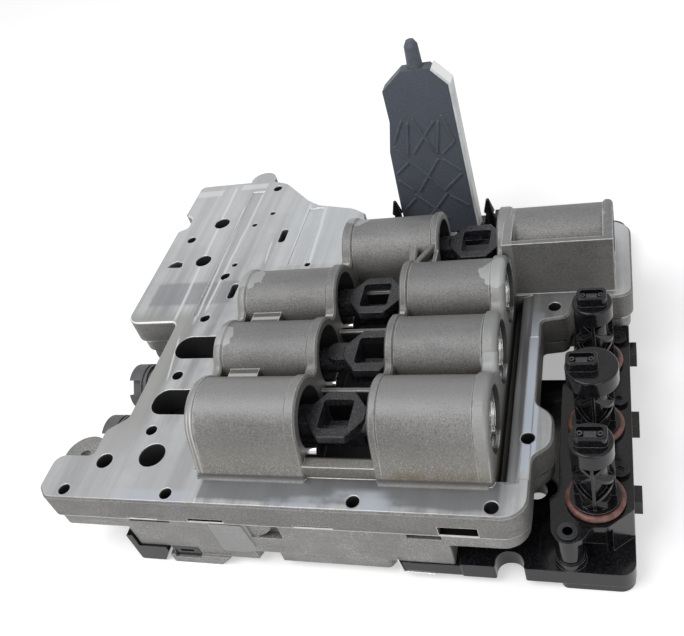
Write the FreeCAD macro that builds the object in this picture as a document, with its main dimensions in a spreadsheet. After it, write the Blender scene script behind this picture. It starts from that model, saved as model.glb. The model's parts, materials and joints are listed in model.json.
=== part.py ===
import FreeCAD, Part
import math
import os
import re
import Sketcher

# Transmission valve body: two aluminium castings clamped round a steel separator plate, four
# shift carriers sliding in paired cylinders, and a plastic electronics module with sensor posts.
# Design frame, in millimetres: +X to the right and along the cylinders, +Y to the rear, +Z up,
# with Z = 0 on the upper casting's mounting face. The last placement moves the whole assembly
# so that its origin is the middle of its lowest plane.

doc = FreeCAD.newDocument("valve_body")
sheet = doc.addObject("Spreadsheet::Sheet", "dims")

SIZES = [
    ("move_x", -7.3, "assembly placement along X"),
    ("move_y", -19.0, "assembly placement along Y"),
    ("move_z", 56.0, "height of the mounting face above the lowest plane"),
    ("front_edge", -125.0, "front edge of the upper casting"),
    ("right_edge", 116.5, "right edge of the upper casting"),
    ("left_edge", -142.0, "left edge of the upper casting"),
    ("rear_edge", 152.5, "rear edge of the upper casting"),
    ("corner_edge", 162.0, "right edge behind the last cylinder"),
    ("plate_thick", 16.0, "upper casting's plate"),
    ("separator_thick", 1.6, "steel plate between the castings"),
    ("lower_top", -17.6, "top face of the lower casting"),
    ("lower_flange_bottom", -26.0, "underside of the lower casting's flange"),
    ("lower_bottom", -42.5, "underside of the lower casting"),
    ("cover_bottom", -50.0, "underside of the channel cover"),
    ("ground", -56.0, "lowest plane"),
    ("row_front", -83.0, "Y of the front cylinder row"),
    ("row_pitch", 42.0, "distance between cylinder rows"),
    ("axis_height", 15.5, "height of the cylinder axes"),
    ("bore_r", 15.5, "cylinder bore radius"),
    ("tube_r", 18.6, "outer radius of the three rear rows"),
    ("front_tube_r", 20.2, "outer radius of the front row"),
    ("rim_r", 19.9, "radius of the wavy end walls"),
    ("front_rim_r", 21.0, "the same in the front row"),
    ("valley_r", 5.0, "rounding between two rims"),
    ("skirt_foot", -109.0, "foot line of the front row's skirt"),
    ("skirt_step", 3.0, "height of the step at that foot"),
    ("left_start", -47.0, "left end of the left column"),
    ("left_end", 12.0, "right end of the left column"),
    ("right_start", 47.0, "left end of the right column"),
    ("right_end", 101.5, "right end of the right column"),
    ("rear_left_end", 62.0, "right end of the rear row's left cylinder"),
    ("rear_right_start", 98.0, "left end of the rear row's right cylinder"),
    ("corner_shelf", 8.5, "plate left to the right of the rear row's right cylinder"),
    ("collar_width", 6.0, "width of an end wall"),
    ("blind_wall", 6.0, "metal left at a bore's blind end"),
    ("trough_front", -101.5, "front of the trough"),
    ("trough_rear", 22.0, "rear of the trough"),
    ("trough_floor", -12.0, "floor of the trough"),
    ("trough_rib", 2.2, "thickness of the ribs in the trough"),
    ("trough_rib_top", 12.0, "top of those ribs"),
    ("bar_front", -107.0, "front of the bar that closes the trough"),
    ("bar_top", 8.0, "top of that bar"),
    ("trench_width", 3.1, "slot beside the right ends"),
    ("trench_floor", -13.0, "floor of that slot"),
    ("trench_lip", -2.2, "top of the slot's steep side"),
    ("trench_slope", 6.0, "width of the shallow slope above it"),
    ("box_wall_front", 17.0, "front of the wall beside the rear cylinder"),
    ("box_wall", 3.0, "thickness of that wall"),
    ("box_wall_top", 34.6, "top of that wall"),
    ("bolt_r", 3.3, "clearance hole for an M6 bolt"),
    ("bolt_row_y", -119.5, "Y of the front row of bolt holes"),
    ("bolt_row_start", -120.8, "X of its first hole"),
    ("bolt_row_span", 221.7, "distance from its first hole to its last"),
    ("bolt_column_x", -85.3, "X of the left column of bolt holes"),
    ("bolt_column_start", -80.1, "Y of its first hole"),
    ("bolt_column_last", 46.3, "Y of its last hole"),
    ("port_r", 5.65, "radius of the two round ports"),
    ("large_port_r", 7.5, "radius of the front port"),
    ("small_port_r", 4.7, "radius of the port beside it"),
    ("drain_r", 2.0, "radius of the small drillings"),
    ("milled_depth", 0.8, "depth of the milled bands"),
    ("carrier_length", 30.0, "length of a carrier's head"),
    ("carrier_width", 28.4, "width of a carrier's head"),
    ("carrier_top", 18.5, "top of a carrier's head"),
    ("carrier_depth", 4.5, "depth of a carrier's head"),
    ("carrier_corner", 8.0, "corner cut of a carrier's head along X"),
    ("carrier_corner_y", 10.5, "the same along Y"),
    ("carrier_ledge", 10.0, "top of the ledge inside a fork window"),
    ("window_length", 15.5, "fork window along X"),
    ("window_width", 18.0, "fork window along Y"),
    ("window_floor", 1.5, "height of the bar under the window"),
    ("keel_half", 6.4, "half the width of a carrier's keel"),
    ("piston_reach", 42.0, "carrier's middle to a piston's middle"),
    ("piston_thick", 9.0, "thickness of a piston"),
    ("rod_r", 6.5, "radius of a carrier's rod"),
    ("slide_fit", 0.05, "radial clearance of a piston"),
    ("seal_width", 2.4, "width of a piston's seal ring"),
    ("seal_depth", 2.0, "depth of a seal ring"),
    ("plug_thick", 6.0, "thickness of a bore plug"),
    ("plug_inset", 3.2, "bore plug's face behind the wall's face"),
    ("snap_thick", 1.2, "thickness of a retaining ring"),
    ("snap_seat", 0.7, "depth of a retaining ring's groove"),
    ("snap_width", 2.6, "radial width of a retaining ring"),
    ("plug_fit", 0.02, "radial clearance of a bore plug"),
    ("pin_r", 2.8, "radius of a detent pin"),
    ("pin_length", 9.0, "length of a detent pin"),
    ("pin_seat", 3.0, "depth of a detent pin's seat in the wall"),
    ("pin_height", 9.0, "height of the detent pins"),
    ("pin_side", 14.6, "detent pin's distance from its bore's middle along Y"),
    ("module_top", -41.0, "top of the module's base"),
    ("module_bottom", -51.0, "underside of the module's base"),
    ("arm_top", -27.0, "top of the module's rear arm"),
    ("access_r", 5.4, "holes in the module that let a bolt's head through"),
    ("module_left", 81.0, "left edge of the module's base"),
    ("module_right", 159.3, "right edge of the module's base"),
    ("module_rear", 130.0, "rear edge of the module's base"),
    ("platform_top", -20.0, "top of the module's raised box"),
    ("platform_left", 131.6, "left side of the raised box"),
    ("post_inset", 16.3, "sensor posts' distance from the module's right edge"),
    ("post_front", -99.5, "Y of the front sensor post"),
    ("post_pitch", 42.0, "distance between sensor posts"),
    ("post_top", 23.0, "top of a sensor post"),
    ("post_r", 9.4, "radius of the outer posts"),
    ("middle_post_r", 11.8, "radius of the middle post"),
    ("post_core_r", 6.6, "radius of a post's core between its ribs"),
    ("post_head", 9.0, "height of a post's head"),
    ("rib_thick", 1.3, "thickness of the ribs on posts and tower"),
    ("post_foot_r", 11.0, "radius of a post's foot"),
    ("post_foot_top", -16.6, "underside of the lip over a post's sealing ring"),
    ("seal_ring_r", 11.5, "centre radius of a post's sealing ring"),
    ("seal_ring_wire", 1.7, "section radius of that ring"),
    ("socket_length", 14.0, "post's plug face along X"),
    ("socket_width", 8.6, "post's plug face along Y"),
    ("socket_height", 5.0, "height of the plug face's collar"),
    ("eye_r", 4.4, "radius of a screw eye"),
    ("screw_r", 2.5, "radius of the module's screws"),
    ("tower_front", 112.0, "front of the rear tower"),
    ("tower_depth", 10.0, "depth of the rear tower"),
    ("tower_top", 91.0, "top of the rear tower"),
    ("tower_pin_top", 107.0, "top of the tower's pin"),
    ("tower_plate", 1.6, "thickness of the tower's metal plate"),
    ("spool_r", 5.5, "radius of a spool valve's bore"),
    ("spool_fit", 0.03, "radial clearance of a spool"),
    ("spool_axis", -34.0, "height of the spool bores"),
    ("spool_first", -60.0, "Y of the front spool"),
    ("spool_pitch", 40.0, "distance between spools"),
    ("spool_start", 15.0, "X of a spool bore's blind end"),
    ("spool_mouth", 79.0, "X of a spool bore's mouth"),
    ("spool_length", 34.0, "length of a spool"),
    ("spool_nose", 2.0, "spool's nose, which rests on the blind end"),
    ("spool_plug", 6.0, "length of a spool bore's plug"),
    ("case_bolt_r", 2.5, "radius of the bolts that clamp the castings"),
    ("case_bolt_end", -8.0, "height of those bolts' ends"),
    ("solenoid_first", -54.5, "Y of the front solenoid"),
    ("solenoid_pitch", 42.5, "distance between solenoids"),
    ("solenoid_r", 14.5, "radius of a solenoid's head"),
    ("solenoid_axis", -41.0, "height of the solenoids"),
    ("solenoid_root", -104.0, "left face that the solenoids stand on"),
    ("solenoid_length", 37.0, "length of a solenoid with its head"),
    ("solenoid_head", 12.0, "length of that head"),
    ("solenoid_can", 13.0, "radius of a solenoid's can"),
    ("socket_floor", 9.4, "a solenoid plug slot's floor from the solenoid's axis"),
    ("socket_half", 4.5, "half the width of that slot"),
    ("socket_depth", 8.0, "depth of that slot along X"),
    ("ear_r", 13.2, "radius of the lower casting's round ear"),
    ("ear_hole_r", 3.3, "hole in that ear"),
    ("ear_thick", 6.0, "thickness of that ear"),
    ("gap", 0.3, "clearance between separate curved pieces"),
    ("edge_round", 1.0, "bevel of the upper casting's top edges"),
    ("shoulder_round", 4.0, "rounded outer shoulder of the left walls"),
    ("right_shoulder", 2.6, "the same on the right walls"),
    ("foot_round", 3.0, "rounding at the foot of the left wall"),
    ("skirt_round", 1.8, "rounding at the foot of the front skirts"),
    ("web_half", 4.6, "half the width of those webs"),
    ("strip_start", -36.5, "left end of the high strip between two cylinders"),
    ("strip_end", -20.0, "right end of that strip"),
    ("thin_wall", 4.5, "width of the walls round the middle openings"),
    ("end_wall", 5.0, "width of the rear right cylinder's walls"),
    ("right_wall", 7.5, "width of the right wall"),
    ("web_top", 23.5, "top of the webs between two cylinders"),
    ("low_web_top", 12.0, "top of the lower part of those webs"),
]

for row, (alias, size, note) in enumerate(SIZES, start=1):
    sheet.set("A%d" % row, alias)
    sheet.set("B%d" % row, str(size))
    sheet.set("C%d" % row, note)
    sheet.setAlias("B%d" % row, alias)
doc.recompute()

UP = FreeCAD.Vector(0, 0, 1)
TURNS = {
    "z": FreeCAD.Rotation(),
    "x": FreeCAD.Rotation(FreeCAD.Vector(0, 1, 0), 90),
    "y": FreeCAD.Rotation(FreeCAD.Vector(1, 0, 0), -90),
}


def size(alias):
    """The number in the sheet's cell of that name."""
    return float(getattr(sheet, alias))


def ex(text):
    """A sheet expression, with each cell's name written out in full."""
    return re.sub(r"[a-z][a-z_0-9]*", lambda word: "dims." + word.group(0), str(text))


def bind(obj, **expressions):
    """Tie an object's properties to the sheet."""
    for prop, text in expressions.items():
        obj.setExpression(prop, ex(text))
    return obj


def put(obj, x, y, z):
    """Tie an object's place to the sheet."""
    for axis, text in zip("xyz", (x, y, z)):
        obj.setExpression("Placement.Base." + axis, ex(text))
    return obj


def box(x_span, y_span, z_span):
    """A block between two X, two Y and two Z values, each an expression."""
    obj = doc.addObject("Part::Box", "Block")
    for prop, (low, high) in zip(("Length", "Width", "Height"), (x_span, y_span, z_span)):
        obj.setExpression(prop, ex("(%s) - (%s)" % (high, low)))
    return put(obj, x_span[0], y_span[0], z_span[0])


def rod(axis, radius, length, x, y, z):
    """A cylinder that starts at x, y, z and runs along +X, +Y or +Z."""
    obj = doc.addObject("Part::Cylinder", "Rod")
    obj.Placement = FreeCAD.Placement(FreeCAD.Vector(), TURNS[axis])
    bind(obj, Radius=radius, Height=length)
    return put(obj, x, y, z)


def cone(axis, radius, end_radius, length, x, y, z):
    """A cone frustum along +X, +Y or +Z."""
    obj = doc.addObject("Part::Cone", "Taper")
    obj.Placement = FreeCAD.Placement(FreeCAD.Vector(), TURNS[axis])
    bind(obj, Radius1=radius, Radius2=end_radius, Height=length)
    return put(obj, x, y, z)


def ring(radius, wire, x, y, z):
    """A round ring lying flat."""
    obj = doc.addObject("Part::Torus", "Ring")
    bind(obj, Radius1=radius, Radius2=wire)
    return put(obj, x, y, z)


def fuse(*solids):
    """One solid from several."""
    if len(solids) == 1:
        return solids[0]
    obj = doc.addObject("Part::MultiFuse", "Fusion")
    obj.Shapes = list(solids)
    obj.Refine = True
    return obj


def cut(base, *tools):
    """A solid with others taken away."""
    obj = doc.addObject("Part::Cut", "Cut")
    obj.Base = base
    obj.Tool = fuse(*tools)
    obj.Refine = True
    return obj


def shared(*solids):
    """What several solids have in common."""
    obj = doc.addObject("Part::MultiCommon", "Common")
    obj.Shapes = list(solids)
    return obj


def edge_cut(kind, base, width, wanted):
    """A solid with the edges that pass a test cut back by a width."""
    doc.recompute()
    chosen = [number for number, edge in enumerate(base.Shape.Edges, start=1) if wanted(edge)]
    obj = doc.addObject(kind, "EdgeCut")
    obj.Base = base
    obj.Edges = [(number, width, width) for number in chosen]
    return obj


def eased(base, radius, wanted):
    """A solid with the edges that pass a test rounded."""
    return edge_cut("Part::Fillet", base, radius, wanted)


def bevelled(base, width, wanted):
    """A solid with the edges that pass a test cut off at 45 degrees."""
    return edge_cut("Part::Chamfer", base, width, wanted)


def lies_on(edge, axis, value):
    """Whether a whole edge lies in the plane of that X, Y or Z value."""
    return all(abs(getattr(point, axis) - value) < NEAR for point in edge.discretize(4))


def together(*solids):
    """Separate solids kept in one sub-part."""
    obj = doc.addObject("Part::Compound", "Group")
    obj.Links = list(solids)
    return obj


SUBPARTS = []


def subpart(label, obj):
    """Name a finished sub-part and place it in the assembly's frame."""
    if obj.TypeId in ("Part::Box", "Part::Cylinder", "Part::Cone", "Part::Torus"):
        obj = together(obj)
    obj.Label = label
    put(obj, "move_x", "move_y", "move_z")
    SUBPARTS.append(obj)
    return obj


def rounded(corners):
    """Lines and arcs through corner points (x, y, rounding), in order round the outline."""
    edges = []
    ends = []
    count = len(corners)
    for index, (x, y, radius) in enumerate(corners):
        here = FreeCAD.Vector(x, y, 0)
        before = FreeCAD.Vector(*corners[index - 1][:2], 0)
        after = FreeCAD.Vector(*corners[(index + 1) % count][:2], 0)
        inward = (before - here).normalize()
        onward = (after - here).normalize()
        if radius == 0:
            ends.append((here, here))
            continue
        half = inward.getAngle(onward) / 2
        reach = radius / math.tan(half)
        start = here + inward * reach
        stop = here + onward * reach
        middle = (inward + onward).normalize()
        centre = here + middle * (radius / math.sin(half))
        edges.append(Part.Arc(start, centre - middle * radius, stop))
        ends.append((start, stop))
    for index in range(count):
        start = ends[index][1]
        stop = ends[(index + 1) % count][0]
        if (stop - start).Length > 1e-6:
            edges.append(Part.LineSegment(start, stop))
    return edges


def prism(plane, edges, start, length):
    """A padded sketch on one of its own body's origin planes."""
    body = doc.addObject("PartDesign::Body", "Body")
    sketch = body.newObject("Sketcher::SketchObject", "Outline")
    face = next(item for item in body.Origin.OriginFeatures if item.Role == plane)
    sketch.AttachmentSupport = [(face, "")]
    sketch.MapMode = "FlatFace"
    sketch.setExpression("AttachmentOffset.Base.z", ex(start))
    sketch.addGeometry(edges, False)
    pad = body.newObject("PartDesign::Pad", "Pad")
    pad.Profile = sketch
    pad.setExpression("Length", ex(length))
    return body


def slab(corners, bottom, top):
    """An outline seen from above, between two heights."""
    return prism("XY_Plane", rounded(corners), bottom, "(%s) - (%s)" % (top, bottom))


def lengthwise(edges, start, end):
    """A profile in Y and Z, run along X."""
    return prism("YZ_Plane", edges, start, "(%s) - (%s)" % (end, start))


def crosswise(edges, start, end):
    """A profile in X and Z, run along Y."""
    return prism("XZ_Plane", edges, "-(%s)" % end, "(%s) - (%s)" % (end, start))


def drill(body, name, holes, depth):
    """Round holes down from the body's top face; each one's place and radius is bound."""
    sketch = body.newObject("Sketcher::SketchObject", name)
    face = next(item for item in body.Origin.OriginFeatures if item.Role == "XY_Plane")
    sketch.AttachmentSupport = [(face, "")]
    sketch.MapMode = "FlatFace"
    for index, (x, y, radius) in enumerate(holes):
        centre = FreeCAD.Vector(x, y, 0)
        sketch.addGeometry(Part.Circle(centre, UP, size(radius)), False)
        sketch.addConstraint(Sketcher.Constraint("DistanceX", -1, 1, index, 3, x))
        sketch.addConstraint(Sketcher.Constraint("DistanceY", -1, 1, index, 3, y))
        last = sketch.addConstraint(Sketcher.Constraint("Radius", index, size(radius)))
        sketch.setExpression("Constraints[%d]" % last, ex(radius))
    pocket = body.newObject("PartDesign::Pocket", name + "_cut")
    pocket.Profile = sketch
    pocket.setExpression("Length", ex(depth))
    body.Tip = pocket
    return body


def row_y(row):
    """Y of a cylinder row as an expression; row 0 is the front one."""
    return "row_front + %d * row_pitch" % row


def row_place(row):
    """The same as a number."""
    return size("row_front") + row * size("row_pitch")


ROWS = range(4)
FRONT, REAR = 0, 3
ROOT = -1.0
NEAR = 1e-3
BRACE_ANGLE = 40.0
REAR_RIGHT_END = "corner_edge - corner_shelf"
POST_X = "module_right - post_inset"


def arc(centre, radius, first, last):
    """An arc in a sketch, from one angle to a larger one, in degrees."""
    circle = Part.Circle(FreeCAD.Vector(centre[0], centre[1], 0), UP, radius)
    return Part.ArcOfCircle(circle, math.radians(first), math.radians(last))


def on_arc(centre, radius, angle):
    """The point of a circle at an angle in degrees."""
    turn = math.radians(angle)
    return (centre[0] + radius * math.cos(turn), centre[1] + radius * math.sin(turn))


def line(start, stop):
    """A straight edge of a sketch."""
    return Part.LineSegment(FreeCAD.Vector(*start, 0), FreeCAD.Vector(*stop, 0))


def skirt_angle(radius):
    """Angle on the front row's circle where a line from the skirt's foot touches it."""
    run = size("skirt_foot") - row_place(FRONT)
    rise = size("skirt_step") - size("axis_height")
    away = math.degrees(math.acos(radius / math.hypot(run, rise)))
    return math.degrees(math.atan2(rise, run)) % 360 - away


def wave(rows, radii, tail=None):
    """The wavy outline over a run of rows: round over each bore, hollow between two."""
    height = size("axis_height")
    hollow = size("valley_r")
    edges = []
    if rows[0] == FRONT:
        start = skirt_angle(radii[0])
        foot = (size("skirt_foot"), size("skirt_step"))
        edges.append(line((foot[0], ROOT), foot))
        edges.append(line(foot, on_arc((row_place(FRONT), height), radii[0], start)))
    else:
        start = 180.0
        side = row_place(rows[0]) - radii[0]
        edges.append(line((side, ROOT), (side, height)))
    for step, row in enumerate(rows):
        centre = (row_place(row), height)
        radius = radii[step]
        if step + 1 < len(rows):
            following = (row_place(rows[step + 1]), height)
            run = following[0] - centre[0]
            near, far = radius + hollow, radii[step + 1] + hollow
            along = (run * run + near * near - far * far) / (2 * run)
            rise = math.sqrt(near * near - along * along)
            dip = (centre[0] + along, height + rise)
            leave = math.degrees(math.atan2(rise, along))
            arrive = math.degrees(math.atan2(rise, along - run))
            edges.append(arc(centre, radius, leave, start))
            edges.append(arc(dip, hollow, 180 + leave, 180 + arrive))
            start = arrive
    last = (row_place(rows[-1]), height)
    if tail is None:
        edges.append(arc(last, radii[-1], 0, start))
        end = (last[0] + radii[-1], height)
    else:
        edges.append(arc(last, radii[-1], tail, start))
        end = on_arc(last, radii[-1], tail)
        brace = (end[0] + radii[-1] / 2, end[1] + hollow / 2)
        edges.append(line(end, brace))
        end = brace
    edges.append(line(end, (end[0], ROOT)))
    base = edges[0].StartPoint.x
    edges.append(line((end[0], ROOT), (base, ROOT)))
    return edges


def tube_radius(row):
    return size("front_tube_r") if row == FRONT else size("tube_r")


def rim_radius(row):
    return size("front_rim_r") if row == FRONT else size("rim_r")


def wall(rows, start, end, shoulder_x, shoulder, other, tail=None):
    """A wavy end wall with a shoulder on one face, rounded where it is wide, and a bevel on the other."""
    radii = [rim_radius(row) for row in rows]
    plain = lengthwise(wave(rows, radii, tail), start, end)
    doc.recompute()
    ends = sum(face.CenterOfMass.x for face in plain.Shape.Faces if abs(face.normalAt(0, 0).x) > 1 - NEAR)

    def rim(face_x):
        return lambda edge: lies_on(edge, "x", face_x) and not lies_on(edge, "z", ROOT)

    shoulder_cut = eased if shoulder > other else bevelled
    return bevelled(shoulder_cut(plain, shoulder, rim(shoulder_x)), other, rim(ends - shoulder_x))


def walls_and_tubes():
    """The half cylinders of both columns and the wavy walls that tie their ends."""
    tubes = []
    for row in (0, 1, 2):
        tubes.append(lengthwise(wave([row], [tube_radius(row)]), "left_start + 2", "left_end - 1"))
        tubes.append(lengthwise(wave([row], [tube_radius(row)]), "right_start + 1", "right_end - 1"))
    rear = wave([REAR], [tube_radius(REAR)])
    tubes.append(lengthwise(rear, "left_end - 2", "rear_left_end - 1"))
    tubes.append(lengthwise(rear, "rear_right_start + 1", REAR_RIGHT_END + " - 1"))
    rows = [0, 1, 2]
    rim = size("edge_round")
    left, right = size("left_start"), size("right_end")
    corner = size("corner_edge") - size("corner_shelf")
    walls = [
        wall(rows, "left_start", "left_start + collar_width", left, size("shoulder_round"), rim),
        wall(list(ROWS), "left_end - collar_width", "left_end", size("left_end"), rim, rim),
        wall(rows, "right_start", "right_start + thin_wall", size("right_start"), rim, rim, BRACE_ANGLE),
        wall(list(ROWS), "right_end - right_wall", "right_end", right, size("right_shoulder"), rim),
        wall([REAR], "rear_left_end - thin_wall", "rear_left_end", size("rear_left_end"), rim, rim),
        wall([REAR], REAR_RIGHT_END + " - end_wall", REAR_RIGHT_END, corner, size("right_shoulder"), rim),
    ]
    return tubes + walls


def webs():
    """The metal between two neighbouring cylinders: a bright high strip at the left, lower elsewhere."""
    solids = []
    for row in (0, 1):
        middle = "row_front + %s * row_pitch" % (row + 0.5)
        across = (middle + " - web_half", middle + " + web_half")
        solids.append(box(("strip_start", "strip_end"), across, ("-1", "web_top")))
        solids.append(box(("strip_end - 1", "left_end - 1"), across, ("-1", "low_web_top")))
        solids.append(box(("right_start + 2 * thin_wall", "right_end - 1"), across, ("-1", "low_web_top")))
    return solids


def foot_profile(wall_face, radius):
    """A hollow rounding that fills the corner between a wall and the plate on the wall's lower side."""
    outer = wall_face - radius
    return [
        line((outer, ROOT), (wall_face + 1, ROOT)),
        line((wall_face + 1, ROOT), (wall_face + 1, radius)),
        line((wall_face + 1, radius), (wall_face, radius)),
        arc((outer, radius), radius, 270, 360),
        line((outer, 0), (outer, ROOT)),
    ]


def feet():
    """Hollow roundings along the left wall and under the two front skirts."""
    skirt = foot_profile(size("skirt_foot"), size("skirt_round"))
    return [
        crosswise(foot_profile(size("left_start"), size("foot_round")), "skirt_foot + shoulder_round",
                  row_y(2) + " + bore_r"),
        lengthwise(skirt, "left_start + edge_round", "left_end - edge_round"),
        lengthwise(skirt, "right_start + edge_round", "right_end - right_shoulder"),
    ]


def rib_between(first, last, half, low):
    """A leaning rib with a flat top between two points (x, y, z), down to a lower height."""
    run = FreeCAD.Vector(last[0] - first[0], last[1] - first[1], 0)
    side = FreeCAD.Vector(-run.y, run.x, 0).normalize() * half
    ends = [FreeCAD.Vector(first[0], first[1], 0), FreeCAD.Vector(last[0], last[1], 0)]
    outline = [ends[0] - side, ends[1] - side, ends[1] + side, ends[0] + side]
    plain = slab([(point.x, point.y, 0) for point in outline], str(low), str(first[2]))
    return eased(plain, half * 0.8, lambda edge: lies_on(edge, "z", first[2]) and edge.Length > 3 * half)


def bridge():
    """The pocketed web that ties the third cylinder to the rear one, with its slanting rib."""
    across = ("trough_rear - 8", row_y(REAR) + " - 12")
    floor = box(("right_start + 4", "rear_left_end"), across, ("-1", "web_top"))
    edge = box(("rear_left_end - 2", "rear_left_end"), across, ("web_top - 1", "web_top + 2.5"))
    return [floor, edge, rib_between((51.0, 12.0, 29.5), (60.5, 31.0, 29.5), 1.6, 20.0)]


def rear_box():
    """The straight wall in front of the rear right cylinder and the two end plates."""
    middle = row_y(REAR)
    rise = ("-1", "box_wall_top")
    face = "box_wall_front"
    return [
        box(("rear_right_start", REAR_RIGHT_END), (face, face + " + box_wall"), rise),
        box(("rear_right_start", "rear_right_start + end_wall"), (face, middle), rise),
        box((REAR_RIGHT_END + " - end_wall", REAR_RIGHT_END), (face, middle), rise),
    ]


def plate_outline(inset=0.0):
    """The upper casting's outline from above, counter-clockwise from the front left."""
    left = size("left_edge") + inset
    right = size("right_edge") - inset
    front = size("front_edge") + inset
    rear = size("rear_edge") - inset
    corner = size("corner_edge") - inset
    return [
        (-131 + inset, front, 5),
        (right, front, 12),
        (right, -92, 7),
        (right + 9, -85, 11),
        (right + 9, -67, 11),
        (right, -60, 7),
        (right, -4, 3),
        (130 - inset, -2, 5),
        (133 - inset, 12.5 + inset, 3),
        (corner, 12.5 + inset, 7),
        (corner, 77 - inset, 12),
        (4 - inset, 77 - inset, 4),
        (-2 - inset, 103 - inset, 5),
        (-12, 110 - inset, 8),
        (-38, 117 - inset, 8),
        (-48, 124 - inset, 6),
        (-70, 147 - inset, 8),
        (-84, rear, 8),
        (left, rear, 5),
        (left, 118 + inset, 3),
        (-134.5 + inset, 112, 5),
        (-134.5 + inset, 102, 3),
        (left + 1, 98, 3),
        (left + 1, 4.5 + inset, 9),
        (-104 + inset, 4.5 + inset, 4),
        (-104 + inset, -71, 6),
        (-114.5 + inset, -80, 5),
        (-114.5 + inset, -97 - inset, 3),
        (-137.5 + inset, -97 - inset, 7),
        (-137.5 + inset, -118, 6),
    ]


def bolt_holes():
    """Clearance holes as (x, y, radius cell): the front row, the left column, the right side."""
    row_y_place = size("bolt_row_y")
    row_x = size("bolt_row_start")
    row_end = row_x + size("bolt_row_span")
    column = size("bolt_column_x")
    places = [(row_x, row_y_place), (-60.3, row_y_place), (37.7, row_y_place), (row_end, row_y_place)]
    places += [(column, size("bolt_column_start")), (column, -40.3), (column, 7.0)]
    places += [(column, size("bolt_column_last")), (-76.0, 141.0), (-125.4, 87.0)]
    places += [(114.1, -81.3), (122.8, 6.0)]
    return [(x, y, "bolt_r") for x, y in places]


def bolt_shafts():
    """The same holes run down through everything under the plate."""
    return [rod("z", radius, "2 - ground", x, y, "ground - 1") for x, y, radius in bolt_holes()]


def port_holes():
    """Oil ports and small drillings as (x, y, radius cell)."""
    return [
        (-107.6, 103.7, "port_r"),
        (-107.3, 63.2, "port_r"),
        (-77.9, -96.4, "large_port_r"),
        (-105.0, -100.9, "small_port_r"),
        (-81.0, 99.0, "drain_r"),
        (-82.0, 57.0, "drain_r"),
        (-71.0, 111.0, "drain_r"),
        (-30.0, 53.0, "drain_r"),
    ]


def slot_across(x, y):
    """A short slot through the plate, its length along Y."""
    reach, half = 7.0, 2.5
    corners = [
        (x - half, y - reach, half - 0.1),
        (x + half, y - reach, half - 0.1),
        (x + half, y + reach, half - 0.1),
        (x - half, y + reach, half - 0.1),
    ]
    return slab(corners, "-plate_thick - 1", "1")


def plate_openings():
    """The D-shaped pockets, the half-moon port, the two slots and the milled bands."""
    deep = ("-plate_thick - 1", "1")
    d_rear = [(-95, -27, 8), (-56, -27, 1), (-56, -9, 1), (-95, -9, 8)]
    d_front = [(-93, -69, 8), (-56, -69, 1), (-56, -51, 1), (-93, -51, 8)]
    half_moon = [
        (-133.2, 58.0, 0.3),
        (-121.3, 57.0, 1.8),
        (-122.6, 62.6, 2.2),
        (-127.8, 64.3, 1.5),
        (-131.4, 61.9, 1.0),
    ]
    bands = [
        box(("-95", "-85"), ("9", "139"), ("-milled_depth", "1")),
        box(("-44", "-33"), ("54", "113"), ("-milled_depth", "1")),
        box(("right_edge - 5", "right_edge - 0.8"), ("-104", "-16"), ("-milled_depth / 2", "1")),
    ]
    cuts = [slab(outline, *deep) for outline in (d_rear, d_front, half_moon)]
    return cuts + [slot_across(-55.5, 84.5), slot_across(-74.5, 31.0)] + bands


def bore_end(row):
    """X of a bore's open right end as an expression."""
    return REAR_RIGHT_END if row == REAR else "right_end"


def snap_start(row):
    """X of the inner side of a bore's retaining ring."""
    return bore_end(row) + " - plug_inset"


def bores():
    """The cylinder bores with a groove at each open end; the rear one is offset to the right."""
    cuts = []
    for row in (0, 1, 2):
        cuts.append(rod("x", "bore_r", "right_end - left_start - blind_wall + 1",
                        "left_start + blind_wall", row_y(row), "axis_height"))
    cuts.append(rod("x", "bore_r", REAR_RIGHT_END + " - left_end - blind_wall + 1",
                    "left_end + blind_wall", row_y(REAR), "axis_height"))
    for row in ROWS:
        cuts.append(rod("x", "bore_r + snap_seat", "snap_thick", snap_start(row), row_y(row), "axis_height"))
    return cuts


def trough():
    """The open trough under the carriers and the slot beside the right ends."""
    near = size("right_end")
    steep = near + size("trench_width")
    slope = [
        (near, size("trench_floor"), 0),
        (steep, size("trench_floor"), 2),
        (steep + 1.2, size("trench_lip"), 1),
        (steep + 1.2 + size("trench_slope"), 0.0, 0),
        (steep + 1.2 + size("trench_slope"), 1.0, 0),
        (near, 1.0, 0),
    ]
    return [
        box(("left_end", "right_start"), ("trough_front", "trough_rear"), ("trough_floor", "5")),
        box(("rear_left_end", "rear_right_start"), ("trough_rear + 3", "78"), ("trough_floor", "5")),
        crosswise(rounded(slope), "skirt_foot + 3", "box_wall_front - 1"),
    ]


def front_notches():
    """Undercuts along the front face, open to the separator plate."""
    spans = [(-87, -70, 2.0), (-52, -32, 3.0), (5, 25, 2.0), (76, 94, 7.0)]
    return [
        box((low, high), ("front_edge - 1", "front_edge + 5"), ("-plate_thick - 1", "-plate_thick + %s" % rise))
        for low, high, rise in spans
    ]


def oil_channels():
    """Channels milled into the underside, closed by the separator plate."""
    depth = ("-plate_thick - 1", "-plate_thick + 8")
    runs = [
        [(-68, -95, 4), (-10, -95, 4), (-10, -86, 4), (-68, -86, 4)],
        [(-60, -46, 4), (-8, -46, 4), (-8, -37, 4), (-60, -37, 4)],
        [(-60, -5, 4), (-8, -5, 4), (-8, 4, 4), (-60, 4, 4)],
        [(56, -95, 4), (92, -95, 4), (92, -86, 4), (56, -86, 4)],
        [(56, -46, 4), (92, -46, 4), (92, -37, 4), (56, -37, 4)],
    ]
    return [slab(run, *depth) for run in runs]


CASE_BOLTS = [(-60, -78), (-20, -30), (-20, 50), (60, -75), (60, 50), (-80, 20)]


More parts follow.
